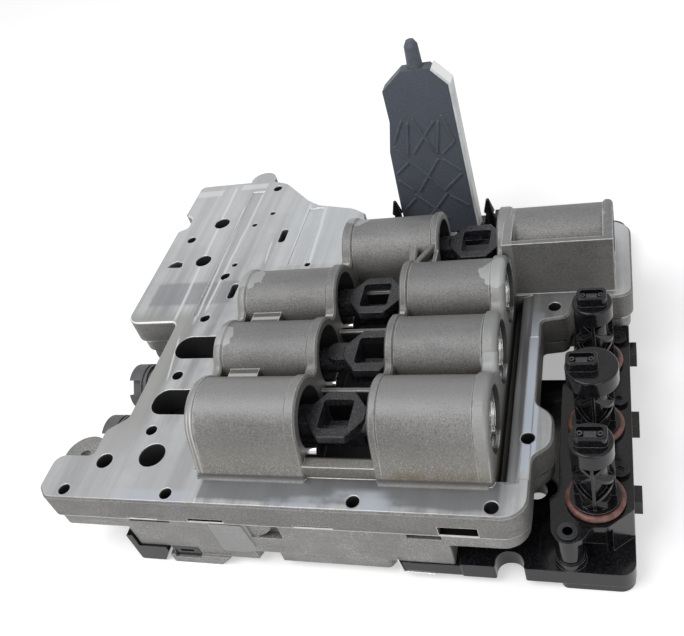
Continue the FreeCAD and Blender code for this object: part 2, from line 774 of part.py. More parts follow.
def case_bolt_shanks():
    """The shanks of the bolts that clamp the castings, also used to cut their holes."""
    length = "case_bolt_end - cover_bottom"
    return [rod("z", "case_bolt_r", length, x, y, "cover_bottom") for x, y in CASE_BOLTS]


def pin_start(row):
    """X of a detent pin's seated end."""
    return ("rear_left_end" if row == REAR else "left_end") + " - pin_seat"


def detent_pins():
    """Four steel pins beside the carriers, seated in the wavy walls; also used to cut their seats."""
    return [
        rod("x", "pin_r", "pin_length", pin_start(row), row_y(row) + " - pin_side", "pin_height")
        for row in ROWS
    ]


def upper_housing():
    """The upper casting: flange plate, half cylinders, trough, ports and wavy walls in one."""
    flange = slab(plate_outline(), "-plate_thick", "0")
    drill(flange, "BoltHoles", bolt_holes(), "plate_thick + 1")
    drill(flange, "Ports", port_holes(), "plate_thick + 1")
    plate = bevelled(flange, size("edge_round"), lambda edge: lies_on(edge, "z", 0) and not edge.isClosed())
    lug = rod("z", "9.5", "12", "-91", "153.5", "-12")
    rough = fuse(plate, lug, *bridge(), *webs(), *feet(), *walls_and_tubes(), *rear_box())
    hollow = cut(rough, *bores(), *trough(), *plate_openings(), *front_notches(), *oil_channels(),
                 *detent_pins(), *case_bolt_shanks())
    ribs = []
    for row in (0, 1):
        middle = "row_front + %s * row_pitch" % (row + 0.5)
        ribs.append(box(
            ("left_end - 1", "right_start + 1"),
            (middle + " - trough_rib / 2", middle + " + trough_rib / 2"),
            ("trough_floor - 1", "trough_rib_top"),
        ))
    bar = box(("left_end - 1", "right_start + 1"), ("bar_front", "trough_front + 0.5"), ("-1", "bar_top"))
    return subpart("upper_housing", fuse(hollow, bar, *ribs))


def separator_plate():
    """The steel plate between the castings, with the bolt pattern and metering holes."""
    plate = slab(plate_outline(0.8), "lower_top", "-plate_thick")
    drill(plate, "PlateHoles", bolt_holes(), "plate_thick + separator_thick + 1")
    drill(plate, "MeteringHoles", port_holes(), "plate_thick + separator_thick + 1")
    return subpart("separator_plate", cut(plate, *case_bolt_shanks()))


def spool_y(index):
    """Y of a spool valve as an expression."""
    return "spool_first + %d * spool_pitch" % index


SPOOLS = range(3)
SOLENOIDS = range(3)
POSTS = range(3)
MIDDLE_POST = 1


EAR_X, EAR_Y = "-135", "-84.5"
BOSS_LEFT, BOSS_DROP = -22.0, 12.0


def lower_housing():
    """The lower casting: flange, valve chest with spool bores, ears for screws."""
    flange = slab(plate_outline(1.5), "lower_flange_bottom", "lower_top")
    chest_outline = [
        (-93, -123.5, 1),
        (79, -123.5, 1),
        (79, 70, 4),
        (60, 94, 4),
        (-45, 94, 6),
        (-62, 118, 8),
        (-104, 118, 8),
        (-104, -68, 2),
        (-93, -74, 2),
    ]
    chest = slab(chest_outline, "lower_bottom", "lower_flange_bottom + 1")
    front_ear = rod("z", "ear_r", "ear_thick", EAR_X, EAR_Y, "lower_top - ear_thick")
    bridge = box(("-142", "-116"), ("-104", "-86"), ("lower_top - ear_thick", "lower_top"))
    cuts = case_bolt_shanks() + bolt_shafts()
    cuts.append(rod("z", "ear_hole_r", "ear_thick + 2", EAR_X, EAR_Y, "lower_top - ear_thick - 1"))
    for low, high, depth in ((-89, -65, 3), (59.5, 76, 4.5), (BOSS_LEFT, -5, BOSS_DROP)):
        cuts.append(box((low, high), ("front_edge", "front_edge + 6"),
                        ("lower_top - %s" % depth, "lower_top + 1")))
    for index in SPOOLS:
        cuts.append(rod("x", "spool_r", "spool_mouth - spool_start + 1", "spool_start",
                        spool_y(index), "spool_axis"))
    pad_outline = [(-42.5, -18.5, 1), (-24.5, -18.5, 1), (-22.5, -38.5, 2), (-28, -42.4, 1), (-41.5, -42.4, 1)]
    pad = crosswise(rounded(pad_outline), "front_edge + 0.6", "front_edge + 3")
    body = cut(fuse(flange, chest, front_ear, bridge, pad), *cuts)
    return subpart("lower_housing", fuse(body, front_boss()))


def front_boss():
    """The part of a round boss that shows in the lower casting's front pocket."""
    boss = rod("y", "17.7", "5", "-25", "front_edge + 2.5", "-13")
    window = box((BOSS_LEFT - 0.5, -5), ("front_edge + 2", "front_edge + 7"),
                 ("lower_top - %s" % (BOSS_DROP + 0.5), "lower_top"))
    return shared(boss, window)


def channel_cover():
    """The bottom cover of the lower casting: notched in front, on two feet, with a window in one."""
    outline = [
        (-76.5, -123.4, 3),
        (-25, -123.4, 0),
        (-22, -116, 2),
        (-14, -116, 2),
        (-11, -123.4, 0),
        (46, -123.4, 3),
        (50, -117, 3),
        (50, -95, 3),
        (80.5, -95, 3),
        (80.5, 60, 5),
        (-98, 60, 5),
        (-98, 0, 5),
        (-76.5, -60, 8),
    ]
    plate = slab(outline, "cover_bottom", "lower_bottom")
    foot_face = [(-76.5, -49, 0), (-76.5, -56, 1), (-48, -56, 2), (-40.5, -49, 0)]
    front_foot = crosswise(rounded(foot_face), "front_edge", "-100")
    rear_pad = [(-96, 34, 6), (-62, 34, 6), (-62, 58, 6), (-96, 58, 6)]
    rear_foot = slab(rear_pad, "ground", "cover_bottom + 1")
    height = ("ground + 4.5", "lower_bottom + 0.1")
    window = box(("-74", "-58"), ("front_edge - 1", "-114"), height)
    channel = box(("-80", "-58"), ("-120", "-114"), height)
    return subpart("channel_cover", cut(fuse(plate, front_foot, rear_foot), window, channel,
                                        *case_bolt_shanks(), *bolt_shafts()))


def harness_clip():
    """The black moulded clip under the lower casting's front left corner; it fills the foot's window."""
    face = [
        (-97, -33, 0.5),
        (-93.3, -33, 0.5),
        (-93.3, -42.8, 0),
        (-76.9, -42.8, 0),
        (-76.9, -47, 1),
        (-82.3, -55.7, 1),
        (-97, -55.7, 1),
    ]
    block = crosswise(rounded(face), "front_edge + 0.2", "-105")
    inner = ("ground + 4.5 + gap", "lower_bottom - gap")
    tongue = box(("-77.5", "-58.3"), ("-119.7", "-114.3"), inner)
    filler = box(("-73.7", "-58.3"), ("front_edge + 1.5", "-114.3"), inner)
    groove = box(("-70", "-62"), ("front_edge + 1", "front_edge + 3"), ("-47.5", "-45.5"))
    return subpart("harness_clip", cut(fuse(block, tongue, filler), groove, *bolt_shafts()))


def solenoid_y(index):
    """Y of a solenoid as an expression."""
    return "solenoid_first + %d * solenoid_pitch" % index


def plug_slot(y, inner, outer):
    """A slot in a solenoid's head for a wiring plug, up and to the front at 45 degrees."""
    half = size("socket_half")
    slant = math.sqrt(0.5)
    corners = []
    for away, aside in ((inner, -half), (outer, -half), (outer, half), (inner, half)):
        corners.append((y + slant * (aside - away), size("solenoid_axis") + slant * (aside + away), 0.6))
    end = "solenoid_root - solenoid_length"
    return lengthwise(rounded(corners), end + " - 1", end + " + socket_depth")


def solenoids():
    """Three solenoid valves on the lower casting's left face: steel can and slotted plastic head."""
    for index in SOLENOIDS:
        y = solenoid_y(index)
        middle = size("solenoid_first") + index * size("solenoid_pitch")
        end = "solenoid_root - solenoid_length"
        can = rod("x", "solenoid_can", "solenoid_length - solenoid_head", end + " + solenoid_head", y,
                  "solenoid_axis")
        lip = rod("x", "solenoid_can - 2", "0.5", "solenoid_root - 0.5", y, "solenoid_axis")
        head = rod("x", "solenoid_r", "solenoid_head", end, y, "solenoid_axis")
        groove = cut(rod("x", "solenoid_r + 1", "1.6", end + " + solenoid_head - 3", y, "solenoid_axis"),
                     rod("x", "solenoid_r - 0.9", "1.6", end + " + solenoid_head - 3", y, "solenoid_axis"))
        slot = plug_slot(middle, size("socket_floor"), size("solenoid_r") + 2)
        subpart("solenoid_can_%d" % (index + 1), cut(can, lip))
        subpart("solenoid_head_%d" % (index + 1), cut(head, groove, slot))


def spool_valves():
    """Three spools with their springs and screw-in plugs, in the lower casting's bores."""
    sliding = "spool_r - spool_fit"
    for index in SPOOLS:
        y = spool_y(index)
        start = "spool_start"
        lands = [rod("x", sliding, "7", start + " + spool_nose + %s" % shift, y, "spool_axis")
                 for shift in (0, 12.5, 25)]
        stem = rod("x", "spool_r / 2", "spool_length", start, y, "spool_axis")
        subpart("valve_spool_%d" % (index + 1), fuse(stem, *lands))
        far = "spool_mouth - spool_plug"
        near = start + " + spool_length"
        coil = rod("x", "spool_r - 0.6", "(%s) - (%s)" % (far, near), near, y, "spool_axis")
        core = rod("x", "spool_r - 1.6", "(%s) - (%s) + 2" % (far, near), near + " - 1", y, "spool_axis")
        subpart("valve_spring_%d" % (index + 1), cut(coil, core))
        plug = rod("x", "spool_r", "spool_plug", far, y, "spool_axis")
        socket = rod("x", "2", "4", "spool_mouth - 3", y, "spool_axis")
        subpart("valve_plug_%d" % (index + 1), cut(plug, socket))


CARRIERS = [
    ("front", 0, 26.0),
    ("second", 1, 35.5),
    ("third", 2, 29.5),
    ("rear", 3, 80.0),
]


def octagon(x, y, length, width, corner_x, corner_y):
    """A rectangle with its four corners cut off."""
    a, b = length / 2, width / 2
    return [
        (x - a + corner_x, y - b, 1),
        (x + a - corner_x, y - b, 1),
        (x + a, y - b + corner_y, 1),
        (x + a, y + b - corner_y, 1),
        (x + a - corner_x, y + b, 1),
        (x - a + corner_x, y + b, 1),
        (x - a, y + b - corner_y, 1),
        (x - a, y - b + corner_y, 1),
    ]


def carrier(name, row, x):
    """A shift carrier: eight-sided head with the fork's window, rods and two pistons."""
    y = row_place(row)
    length, width = size("carrier_length"), size("carrier_width")
    outline = octagon(x, y, length, width, size("carrier_corner"), size("carrier_corner_y"))
    head = eased(slab(outline, "carrier_top - carrier_depth", "carrier_top"), 0.6,
                 lambda edge: lies_on(edge, "z", size("carrier_top")))
    keel = box((x - length / 2 + 2, x + length / 2 - 2), ("%s - keel_half" % y, "%s + keel_half" % y),
               ("window_floor", "carrier_top - 2"))
    half_l, half_w = size("window_length") / 2, size("window_width") / 2
    window = [
        (x - half_l, y - half_w, 2),
        (x + half_l, y - half_w, 2),
        (x + half_l, y + half_w, 2),
        (x - half_l, y + half_w, 2),
    ]
    opening = slab(window, "window_floor + 4", "carrier_top + 1")
    ledge = box((x - half_l - 1, x + half_l + 1), ("%s - keel_half" % y, str(y)),
                ("window_floor + 3", "carrier_ledge"))
    reach = size("piston_reach")
    shaft = rod("x", "rod_r", "2 * piston_reach", x - reach, y, "axis_height - 4")
    tip = x - length / 2 - 9
    tongue = [(tip, y - 6, 5.5), (x, y - 6, 1), (x, y + 6, 1), (tip, y + 6, 5.5)]
    tab = slab(tongue, "carrier_top - 5", "carrier_top - 0.3")
    pistons = []
    for side in (-1, 1):
        start = x + side * reach - size("piston_thick") / 2
        disc = rod("x", "bore_r - slide_fit", "piston_thick", start, y, "axis_height")
        groove = rod("x", "bore_r + 1", "seal_width", start + 3.3, y, "axis_height")
        core = rod("x", "bore_r - seal_depth", "seal_width + 2", start + 2.3, y, "axis_height")
        pistons.append(cut(disc, cut(groove, core)))
    body = fuse(cut(fuse(head, keel, shaft, tab), opening), ledge, *pistons)
    subpart("shift_carrier_%s" % name, body)


def carrier_seals(name, row, x):
    """The two seal rings in the grooves of a carrier's pistons."""
    y = row_place(row)
    rings = []
    for side in (-1, 1):
        start = x + side * size("piston_reach") - size("piston_thick") / 2 + 3.3
        band = rod("x", "bore_r - slide_fit / 2", "seal_width", start, y, "axis_height")
        core = rod("x", "bore_r - seal_depth", "seal_width + 2", start - 1, y, "axis_height")
        rings.append(cut(band, core))
    subpart("piston_seals_%s" % name, together(*rings))


def bore_plug(name, row):
    """A turned steel plug that closes a bore's right end, held by a retaining ring."""
    y = row_y(row)
    inner = snap_start(row) + " - plug_thick"
    seat = rod("x", "bore_r - plug_fit", "plug_thick", inner, y, "axis_height")
    face = eased(seat, 0.8, lambda edge: edge.BoundBox.XMin > seat.Shape.BoundBox.XMax - NEAR)
    dish = rod("x", "bore_r - 5", "1.5", snap_start(row) + " - 1.2", y, "axis_height")
    pit = rod("x", "bore_r - 9", "3", snap_start(row) + " - 3.5", y, "axis_height")
    subpart("bore_plug_%s" % name, cut(face, dish, pit))


def retaining_rings():
    """The four spring rings in the bores' grooves, open at the bottom, with two eyes each."""
    rings = []
    for row in ROWS:
        y = row_y(row)
        start = snap_start(row)
        outer = "bore_r + snap_seat - slide_fit"
        band = rod("x", outer, "snap_thick", start, y, "axis_height")
        core = rod("x", outer + " - snap_width", "snap_thick + 2", start + " - 1", y, "axis_height")
        opening = box((start + " - 1", start + " + snap_thick + 1"), (y + " - 3", y + " + 3"),
                      ("axis_height - bore_r - 2", "axis_height"))
        eyes = []
        for side in ("-", "+"):
            place = "%s %s 4.2" % (y, side)
            low = "axis_height - bore_r + snap_width"
            eye = rod("x", "1.9", "snap_thick", start, place, low)
            eyes.append(cut(eye, rod("x", "0.8", "snap_thick + 2", start + " - 1", place, low)))
        rings.append(fuse(cut(band, core, opening), *eyes))
    return rings


def post_y(index):
    """Y of a sensor post as an expression."""
    return "post_front + %d * post_pitch" % index


def post_place(index):
    """The same as a number."""
    return size("post_front") + index * size("post_pitch")


def module_base():
    """The black module: flat base, raised box under the posts, rear arm under the tower."""
    left, right = size("module_left"), size("module_right")
    rear = size("module_rear")
    front = size("front_edge")
    notch_x, notch_r = 104.0, 6.6
    base_outline = [
        (left, front + 0.5, 1),
        (notch_x - notch_r, front + 0.5, 1),
        (notch_x - notch_r, front + 9, 6),
        (notch_x + notch_r, front + 9, 6),
        (notch_x + notch_r, front + 0.5, 1),
        (right, front + 0.5, 7),
        (right, rear, 8),
        (5, rear, 8),
        (5, 99, 3),
        (left, 99, 3),
    ]
    base = slab(base_outline, "module_bottom", "module_top")
    tongue = slab([(51.5, -124.2, 2), (82, -124.2, 0), (82, -96, 0), (51.5, -96, 2)],
                  "module_bottom + 0.4", "lower_bottom - gap")
    deck = size("platform_left")
    box_outline = [
        (deck, -28, 2),
        (126.5, -31, 2),
        (126.5, -96, 2),
        (123, -100, 2),
        (124.5, -122, 7),
        (137.5, -122, 7),
        (141, -114.5, 4),
        (148, -114, 4),
        (right, -104, 2),
        (right, 11, 2),
        (deck, 11, 2),
    ]
    raised = slab(box_outline, "module_top - 1", "platform_top")
    arm = slab([(8, 101, 2), (142, 101, 2), (142, 127, 2), (8, 127, 2)], "module_top - 1", "arm_top")
    undercut = slab([(120, -130, 0), (150, -130, 0), (150, -109, 4), (120, -109, 4)],
                    "module_top", "platform_top - 3.5")
    stem = rod("z", "6.2", "platform_top - module_top", "131.3", "-117", "module_top")
    collar = rod("z", "7.2", "4", "131.3", "-117", "module_top")
    gap = box(("112", "130"), ("-9", "26"), ("ground - 1", "0"))
    feet = rod("z", "9", "module_bottom - ground + 1", "30", "114", "ground")
    rear_foot = rod("z", "9", "module_bottom - ground + 1", "148", "114", "ground")
    clips = []
    for y in (-99, -56, -9):
        clips.append(box(("module_right - 1", "module_right + 3.5"), (y, y + 9), ("-31", "-22")))
    solid = fuse(base, tongue, cut(raised, undercut), arm, stem, collar, feet, rear_foot, *clips)
    holes = [gap]
    for index in POSTS:
        holes.append(rod("z", "screw_r + 0.2", "14", POST_X + " + 10.5", post_y(index) + " + 15.5",
                         "platform_top - 12"))
        holes.append(rod("z", "post_foot_r - 2 + gap", "8", POST_X, post_y(index), "platform_top - 6"))
    holes.append(rod("z", "3.3", "18", "131.3", "-117", "platform_top - 16"))
    holes.append(rod("z", "2.2", "platform_top - module_bottom", "131.3", "-117", "module_bottom - 1"))
    holes.append(rod("z", "access_r", "module_top - module_bottom + 2", "114.1", "-81.3", "module_bottom - 1"))
    return subpart("module_base", cut(solid, *holes))


def module_cover():
    """The lid under the right half of the module; the assembly stands on it."""
    right = size("module_right") - size("gap")
    outline = [(126.5, -124, 3), (right, -124, 7), (right, 8, 3), (126.5, 8, 3)]
    lid = slab(outline, "ground", "module_bottom")
    gap = box(("112", "130"), ("-9", "26"), ("ground - 1", "0"))
    access = rod("z", "access_r", "module_bottom - ground + 2", "131.3", "-117", "ground - 1")
    return subpart("module_cover", cut(lid, gap, access))


def tilted_rib(y, middle, turn):
    """A flat rib across a post, leaning by an angle in degrees about the post's middle line."""
    length, width, thick = 30.0, 24.0, size("rib_thick")
    rotation = FreeCAD.Rotation(FreeCAD.Vector(0, 1, 0), turn)
    corner = rotation.multVec(FreeCAD.Vector(length / 2, width / 2, thick / 2))
    obj = doc.addObject("Part::Box", "Rib")
    obj.Length, obj.Width = length, width
    bind(obj, Height="rib_thick")
    obj.Placement = FreeCAD.Placement(FreeCAD.Vector(), rotation)
    return put(obj, "%s - (%.4f)" % (POST_X, corner.x), "%s - (%.4f)" % (y, corner.y),
               "%s - (%.4f)" % (middle, corner.z))


def lattice(y):
    """The crossed ribs round a post's core, kept inside the post's radius."""
    ribs = [tilted_rib(y, middle, turn) for middle in (-11.0, 8.0) for turn in (-46.0, 46.0)]
    inside = rod("z", "post_r - 0.5", "post_top - platform_top - 2", POST_X, y, "platform_top + 1")
    return shared(fuse(*ribs), inside)


def sensor_post(index):
    """A post: round foot, latticed shaft, round head and the collar of its plug face."""
    y = post_y(index)
    place = post_place(index)
    radius = "middle_post_r" if index == MIDDLE_POST else "post_r"
    shift = -4.0 if index == MIDDLE_POST else 0.0
    core = rod("z", "post_core_r", "post_top - platform_top", POST_X, y, "platform_top")
    spigot = rod("z", "post_foot_r - 2", "5", POST_X, y, "platform_top - 5")
    foot = rod("z", "seal_ring_r - seal_ring_wire", "post_foot_top - platform_top", POST_X, y, "platform_top")
    lip = rod("z", "post_foot_r", "1.2", POST_X, y, "post_foot_top")
    head = rod("z", radius, "post_head", POST_X, y, "post_top - post_head")
    top = eased(head, 1.0, lambda edge: lies_on(edge, "z", size("post_top")) and edge.Length > 1)
    half = "rib_thick / 2"
    fin_x = box((POST_X + " - post_r + 0.3", POST_X + " + post_r - 0.3"), (y + " - " + half, y + " + " + half),
                ("platform_top", "post_top - 1"))
    fin_y = box((POST_X + " - " + half, POST_X + " + " + half), (y + " - post_r + 0.3", y + " + post_r - 0.3"),
                ("platform_top", "post_top - 1"))
    centre = size("module_right") - size("post_inset") + shift
    half_l, half_w = size("socket_length") / 2, size("socket_width") / 2
    collar = slab([
        (centre - half_l, place - half_w, 2.5),
        (centre + half_l, place - half_w, 2.5),
        (centre + half_l, place + half_w, 2.5),
        (centre - half_l, place + half_w, 2.5),
    ], "post_top - 1", "post_top + socket_height")
    brim = eased(collar, 0.7, lambda edge: lies_on(edge, "z", size("post_top") + size("socket_height")))
    side = 1.5
    mouth = slab([
        (centre - half_l + side, place - half_w + side, 1.5),
        (centre + half_l - side, place - half_w + side, 1.5),
        (centre + half_l - side, place + half_w - side, 1.5),
        (centre - half_l + side, place + half_w - side, 1.5),
    ], "post_top + 2", "post_top + socket_height + 1")
    solid = fuse(core, spigot, foot, lip, top, fin_x, fin_y, lattice(y), brim)
    subpart("sensor_post_%d" % (index + 1), cut(solid, mouth))
    root = "post_top + 2"
    contacts = [box((centre - 2.6, centre + 2.6), (y + " - 1.6", y + " + 1.6"), (root, root + " + 1.6"))]
    for step in (-1, 1):
        pin = rod("z", "1.3", "2.2", str(centre + 4.2 * step), y, root)
        contacts.append(cut(pin, rod("z", "0.6", "2", str(centre + 4.2 * step), y, root + " + 1")))
    subpart("post_contacts_%d" % (index + 1), together(*contacts))


def post_seal(index):
    """The brown sealing ring round a post's foot."""
    subpart("post_seal_%d" % (index + 1),
            ring("seal_ring_r", "seal_ring_wire", POST_X, post_y(index), "platform_top + seal_ring_wire"))


def module_screws():
    """Screws through the module's eyes beside the posts."""
    screws = []
    for index in POSTS:
        y = post_y(index) + " + 15.5"
        shank = rod("z", "screw_r", "11", POST_X + " + 10.5", y, "platform_top - 11")
        head = rod("z", "eye_r", "2.2", POST_X + " + 10.5", y, "platform_top")
        drive = rod("z", "1.6", "2", POST_X + " + 10.5", y, "platform_top + 0.8")
        screws.append(cut(fuse(shank, head), drive))
    return screws


def module_bushing():
    """The steel bushing in the module's front arm."""
    sleeve = rod("z", "3.3", "17", "131.3", "-117", "platform_top - 16")
    lip = rod("z", "4.6", "1", "131.3", "-117", "platform_top")
    bore = rod("z", "2.2", "19", "131.3", "-117", "platform_top - 17")
    subpart("module_bushing", cut(fuse(sleeve, lip), bore))


TOWER_RIBS = [
    ((36.6, 57.4), (32.6, 35.0)),
    ((33.2, 59.2), (25.7, 44.6)),
    ((40.2, 59.7), (48.9, 36.8)),
    ((52.6, 56.8), (36.7, 36.0)),
    ((55.5, 56.4), (51.0, 34.3)),
    ((58.0, 60.1), (63.0, 41.5)),
    ((63.0, 41.5), (53.9, 33.3)),
    ((25.0, 41.8), (33.0, 30.5)),
    ((33.0, 30.5), (51.7, 5.6)),
    ((50.8, 30.0), (34.9, 7.3)),
    ((33.0, 30.5), (22.7, 21.8)),
    ((53.9, 29.6), (63.5, 20.5)),
    ((23.0, 17.2), (31.7, 7.6)),
    ((64.0, 18.1), (51.9, 7.1)),
    ((31.2, 2.1), (22.8, -6.0)),
    ((53.7, 2.3), (64.5, -6.7)),
    ((31.7, 5.0), (50.0, -16.0)),
    ((52.5, 4.0), (36.0, -16.0)),
]


def tower_ribs():
    """The thin ribs that cross on the tower's front face."""
    half = size("rib_thick") / 2
    ribs = []
    for (x0, z0), (x1, z1) in TOWER_RIBS:
        length = math.hypot(x1 - x0, z1 - z0)
        aside, up = (z0 - z1) / length * half, (x1 - x0) / length * half
        outline = [
            (x0 - aside, z0 - up, 0),
            (x1 - aside, z1 - up, 0),
            (x1 + aside, z1 + up, 0),
            (x0 + aside, z0 + up, 0),
        ]
        ribs.append(crosswise(rounded(outline), "tower_front - 0.7", "tower_front + 1"))
    return ribs


def rear_tower():
    """The tall flat tower behind the rear cylinders, with its pin and metal side plate."""
    top = size("tower_top")
    face = [
        (20.0, -27.0, 1),
        (19.8, -7.0, 0),
        (21.6, 38.0, 3),
        (26.0, 59.0, 3),
        (26.0, 80.0, 1),
        (39.0, top, 1),
        (56.0, top, 1),
        (65.8, 79.5, 0),
        (68.0, -27.0, 1),
    ]
    slab_body = crosswise(rounded(face), "tower_front", "tower_front + tower_depth - 2")
    recess = crosswise(rounded([(25, -18, 2), (62, -18, 2), (60, 62, 2), (30, 62, 2)]),
                       "tower_front + 3", "tower_front + tower_depth")
    subpart("rear_tower", fuse(cut(slab_body, recess), *tower_ribs()))
    plate = [
        (65.8, 79.5, 0),
        (68.0, -27.0, 0),
        (68.0 + size("tower_plate"), -27.0, 0),
        (65.8 + size("tower_plate"), 80.1, 0),
        (58.2, 90.9, 0),
        (57.0, 89.85, 0),
    ]
    subpart("tower_plate", crosswise(rounded(plate), "tower_front - 1", "tower_front + tower_depth - 1"))
    pin = cone("z", "4.6", "4.0", "tower_pin_top - tower_top - 3", "47.5", "tower_front + 4.7", "tower_top")
    tip = cone("z", "4.0", "2.4", "3", "47.5", "tower_front + 4.7", "tower_pin_top - 3")
    subpart("tower_pin", fuse(pin, tip))


def rear_clips():
    """Two pointed locating spikes and a low cable channel on the module's rear arm."""
    for name, x, height in (("left", 18.5, 24), ("right", 78.0, 20)):
        stem = rod("z", "2.4", height, x, "106", "arm_top")
        spike = cone("z", "3.4", "1.0", "9", x, "106", "arm_top + %s" % (height - 1))
        subpart("rear_clip_%s" % name, fuse(stem, spike))
    channel = cut(box(("81", "94"), ("104", "112"), ("arm_top", "-12")),
                  box(("83", "92"), ("106", "110"), ("-20", "0")))
    subpart("cable_channel", channel)


def case_bolts():
    """The hidden bolts that clamp the lower casting to the upper one, from below."""
    heads = [rod("z", "2 * case_bolt_r", "5", x, y, "cover_bottom - 5") for x, y in CASE_BOLTS]
    sockets = [rod("z", "case_bolt_r * 0.8", "4", x, y, "cover_bottom - 6") for x, y in CASE_BOLTS]
    parts = zip(heads, sockets, case_bolt_shanks())
    return [cut(fuse(head, shank), socket) for head, socket, shank in parts]


upper_housing()
separator_plate()
lower_housing()
channel_cover()
harness_clip()
solenoids()
spool_valves()
for carrier_name, carrier_row, carrier_x in CARRIERS:
    carrier(carrier_name, carrier_row, carrier_x)
    carrier_seals(carrier_name, carrier_row, carrier_x)
    bore_plug(carrier_name, carrier_row)
subpart("retaining_rings", together(*retaining_rings()))
subpart("detent_pins", together(*detent_pins()))
module_base()
module_cover()
for post in POSTS:
    sensor_post(post)
    post_seal(post)
subpart("module_screws", together(*module_screws()))
module_bushing()
rear_tower()
rear_clips()
subpart("case_bolts", together(*case_bolts()))

doc.recompute()

for item in doc.Objects:
    if "Invalid" in item.State or "Error" in item.State:
        raise RuntimeError("failed object: %s %s" % (item.Name, item.State))
for item in SUBPARTS:
    if item.Shape.isNull() or not item.Shape.isValid():
        raise RuntimeError("bad shape: %s" % item.Label)

os.makedirs("parts", exist_ok=True)
low = [math.inf] * 3
high = [-math.inf] * 3
for item in SUBPARTS:
    item.Shape.exportStep("parts/%s.step" % item.Label)
    bounds = item.Shape.BoundBox
    low = [min(pair) for pair in zip(low, (bounds.XMin, bounds.YMin, bounds.ZMin))]
    high = [max(pair) for pair in zip(high, (bounds.XMax, bounds.YMax, bounds.ZMax))]
print("sub-parts:", len(SUBPARTS))
print("bounds:", [round(v, 3) for v in low], [round(v, 3) for v in high])
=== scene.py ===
import json
import math

import bmesh
import bpy
from mathutils import Matrix, Vector


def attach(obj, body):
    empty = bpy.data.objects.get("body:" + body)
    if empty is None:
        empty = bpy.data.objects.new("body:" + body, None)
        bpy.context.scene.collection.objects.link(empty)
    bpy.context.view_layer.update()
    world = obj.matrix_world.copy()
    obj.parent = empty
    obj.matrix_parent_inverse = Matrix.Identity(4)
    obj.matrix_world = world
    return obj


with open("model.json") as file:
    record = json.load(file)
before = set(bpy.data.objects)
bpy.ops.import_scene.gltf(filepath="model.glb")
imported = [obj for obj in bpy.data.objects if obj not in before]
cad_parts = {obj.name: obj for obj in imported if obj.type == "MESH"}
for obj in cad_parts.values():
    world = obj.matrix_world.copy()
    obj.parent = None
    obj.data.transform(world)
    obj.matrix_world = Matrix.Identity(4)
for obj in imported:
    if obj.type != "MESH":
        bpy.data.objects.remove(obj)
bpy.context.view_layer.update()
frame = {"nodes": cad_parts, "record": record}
NODES = frame["nodes"]

# Places are in metres in the frame of the CAD. D(x, y, z) takes a place in the part's own design
# frame, in millimetres, where Z = 0 is the upper casting's mounting face.
MM = 0.001
MOVE = Vector((-7.3, -19.0, 56.0))


def D(x, y, z):
    """A point given in the design frame, in metres in the shared frame."""
    return (Vector((x, y, z)) + MOVE) * MM


# Camera, lamps and floor

CAMERA_PLACE = (160.0, -320.0, 305.0)
CAMERA_DOWN, CAMERA_TURN, CAMERA_ROLL = 40.4, -25.7, -19.3
FOCAL_PIXELS, PHOTO_WIDTH, SENSOR = 822.0, 684.0, 36.0
CLIP_NEAR, CLIP_FAR = 0.01, 50.0

LAMP_TARGET = (0, 0, 0.05)
# Name, place, size in metres and power in watts
LAMPS = [
    ("key", (-0.5, -0.5, 1.3), 0.9, 11.0),
    ("front", (0.6, -1.1, 0.5), 0.6, 3.0),
]
WORLD_LIGHT = 0.55
FLOOR_GREY, FLOOR_GLOW = 0.8, 0.38
FLOOR_HALF, FLOOR_DROP = 6.0, 0.0002


def make_camera():
    """The photograph's camera, from its place, its three angles and its focal length."""
    down, turn, roll = (math.radians(v) for v in (CAMERA_DOWN, CAMERA_TURN, CAMERA_ROLL))
    forward = Vector((math.sin(turn) * math.cos(down), math.cos(turn) * math.cos(down), -math.sin(down)))
    right = forward.cross(Vector((0, 0, 1))).normalized()
    up = right.cross(forward)
    across = right * math.cos(roll) + up * math.sin(roll)
    upward = -right * math.sin(roll) + up * math.cos(roll)
    data = bpy.data.cameras.new("camera")
    data.sensor_width = SENSOR
    data.lens = FOCAL_PIXELS / PHOTO_WIDTH * SENSOR
    data.clip_start, data.clip_end = CLIP_NEAR, CLIP_FAR
    camera = bpy.data.objects.new("camera", data)
    turn_matrix = Matrix((across, upward, -forward)).transposed()
    camera.matrix_world = Matrix.Translation(D(*CAMERA_PLACE)) @ turn_matrix.to_4x4()
    bpy.context.scene.collection.objects.link(camera)
    bpy.context.scene.camera = camera


def area_lamp(name, place, size, power):
    """A soft square lamp that faces the object."""
    data = bpy.data.lights.new(name, "AREA")
    data.shape = "SQUARE"
    data.size = size
    data.energy = power
    lamp = bpy.data.objects.new(name, data)
    lamp.location = place
    lamp.rotation_euler = (Vector(place) - Vector(LAMP_TARGET)).to_track_quat("Z", "Y").to_euler()
    bpy.context.scene.collection.objects.link(lamp)


def seen_directly(graph):
    """1 for rays from the camera, and for those by way of metal or glass; 0 for the others."""
    path = graph.node("ShaderNodeLightPath")
    direct = graph.math("MAXIMUM", path.outputs["Is Camera Ray"], path.outputs["Is Glossy Ray"])
    return graph.math("MAXIMUM", direct, path.outputs["Is Transmission Ray"])


def make_world():
    """A white world, dimmer as a light than as the background that shows."""
    world = bpy.data.worlds.new("world")
    bpy.context.scene.world = world
    world.use_nodes = True
    graph = Graph(world.node_tree)
    background = next(n for n in graph.nodes if n.type == "BACKGROUND")
    background.inputs["Color"].default_value = (1, 1, 1, 1)
    strength = graph.math("MULTIPLY_ADD", seen_directly(graph), 1.0 - WORLD_LIGHT, WORLD_LIGHT)
    graph.link(strength, background.inputs["Strength"])


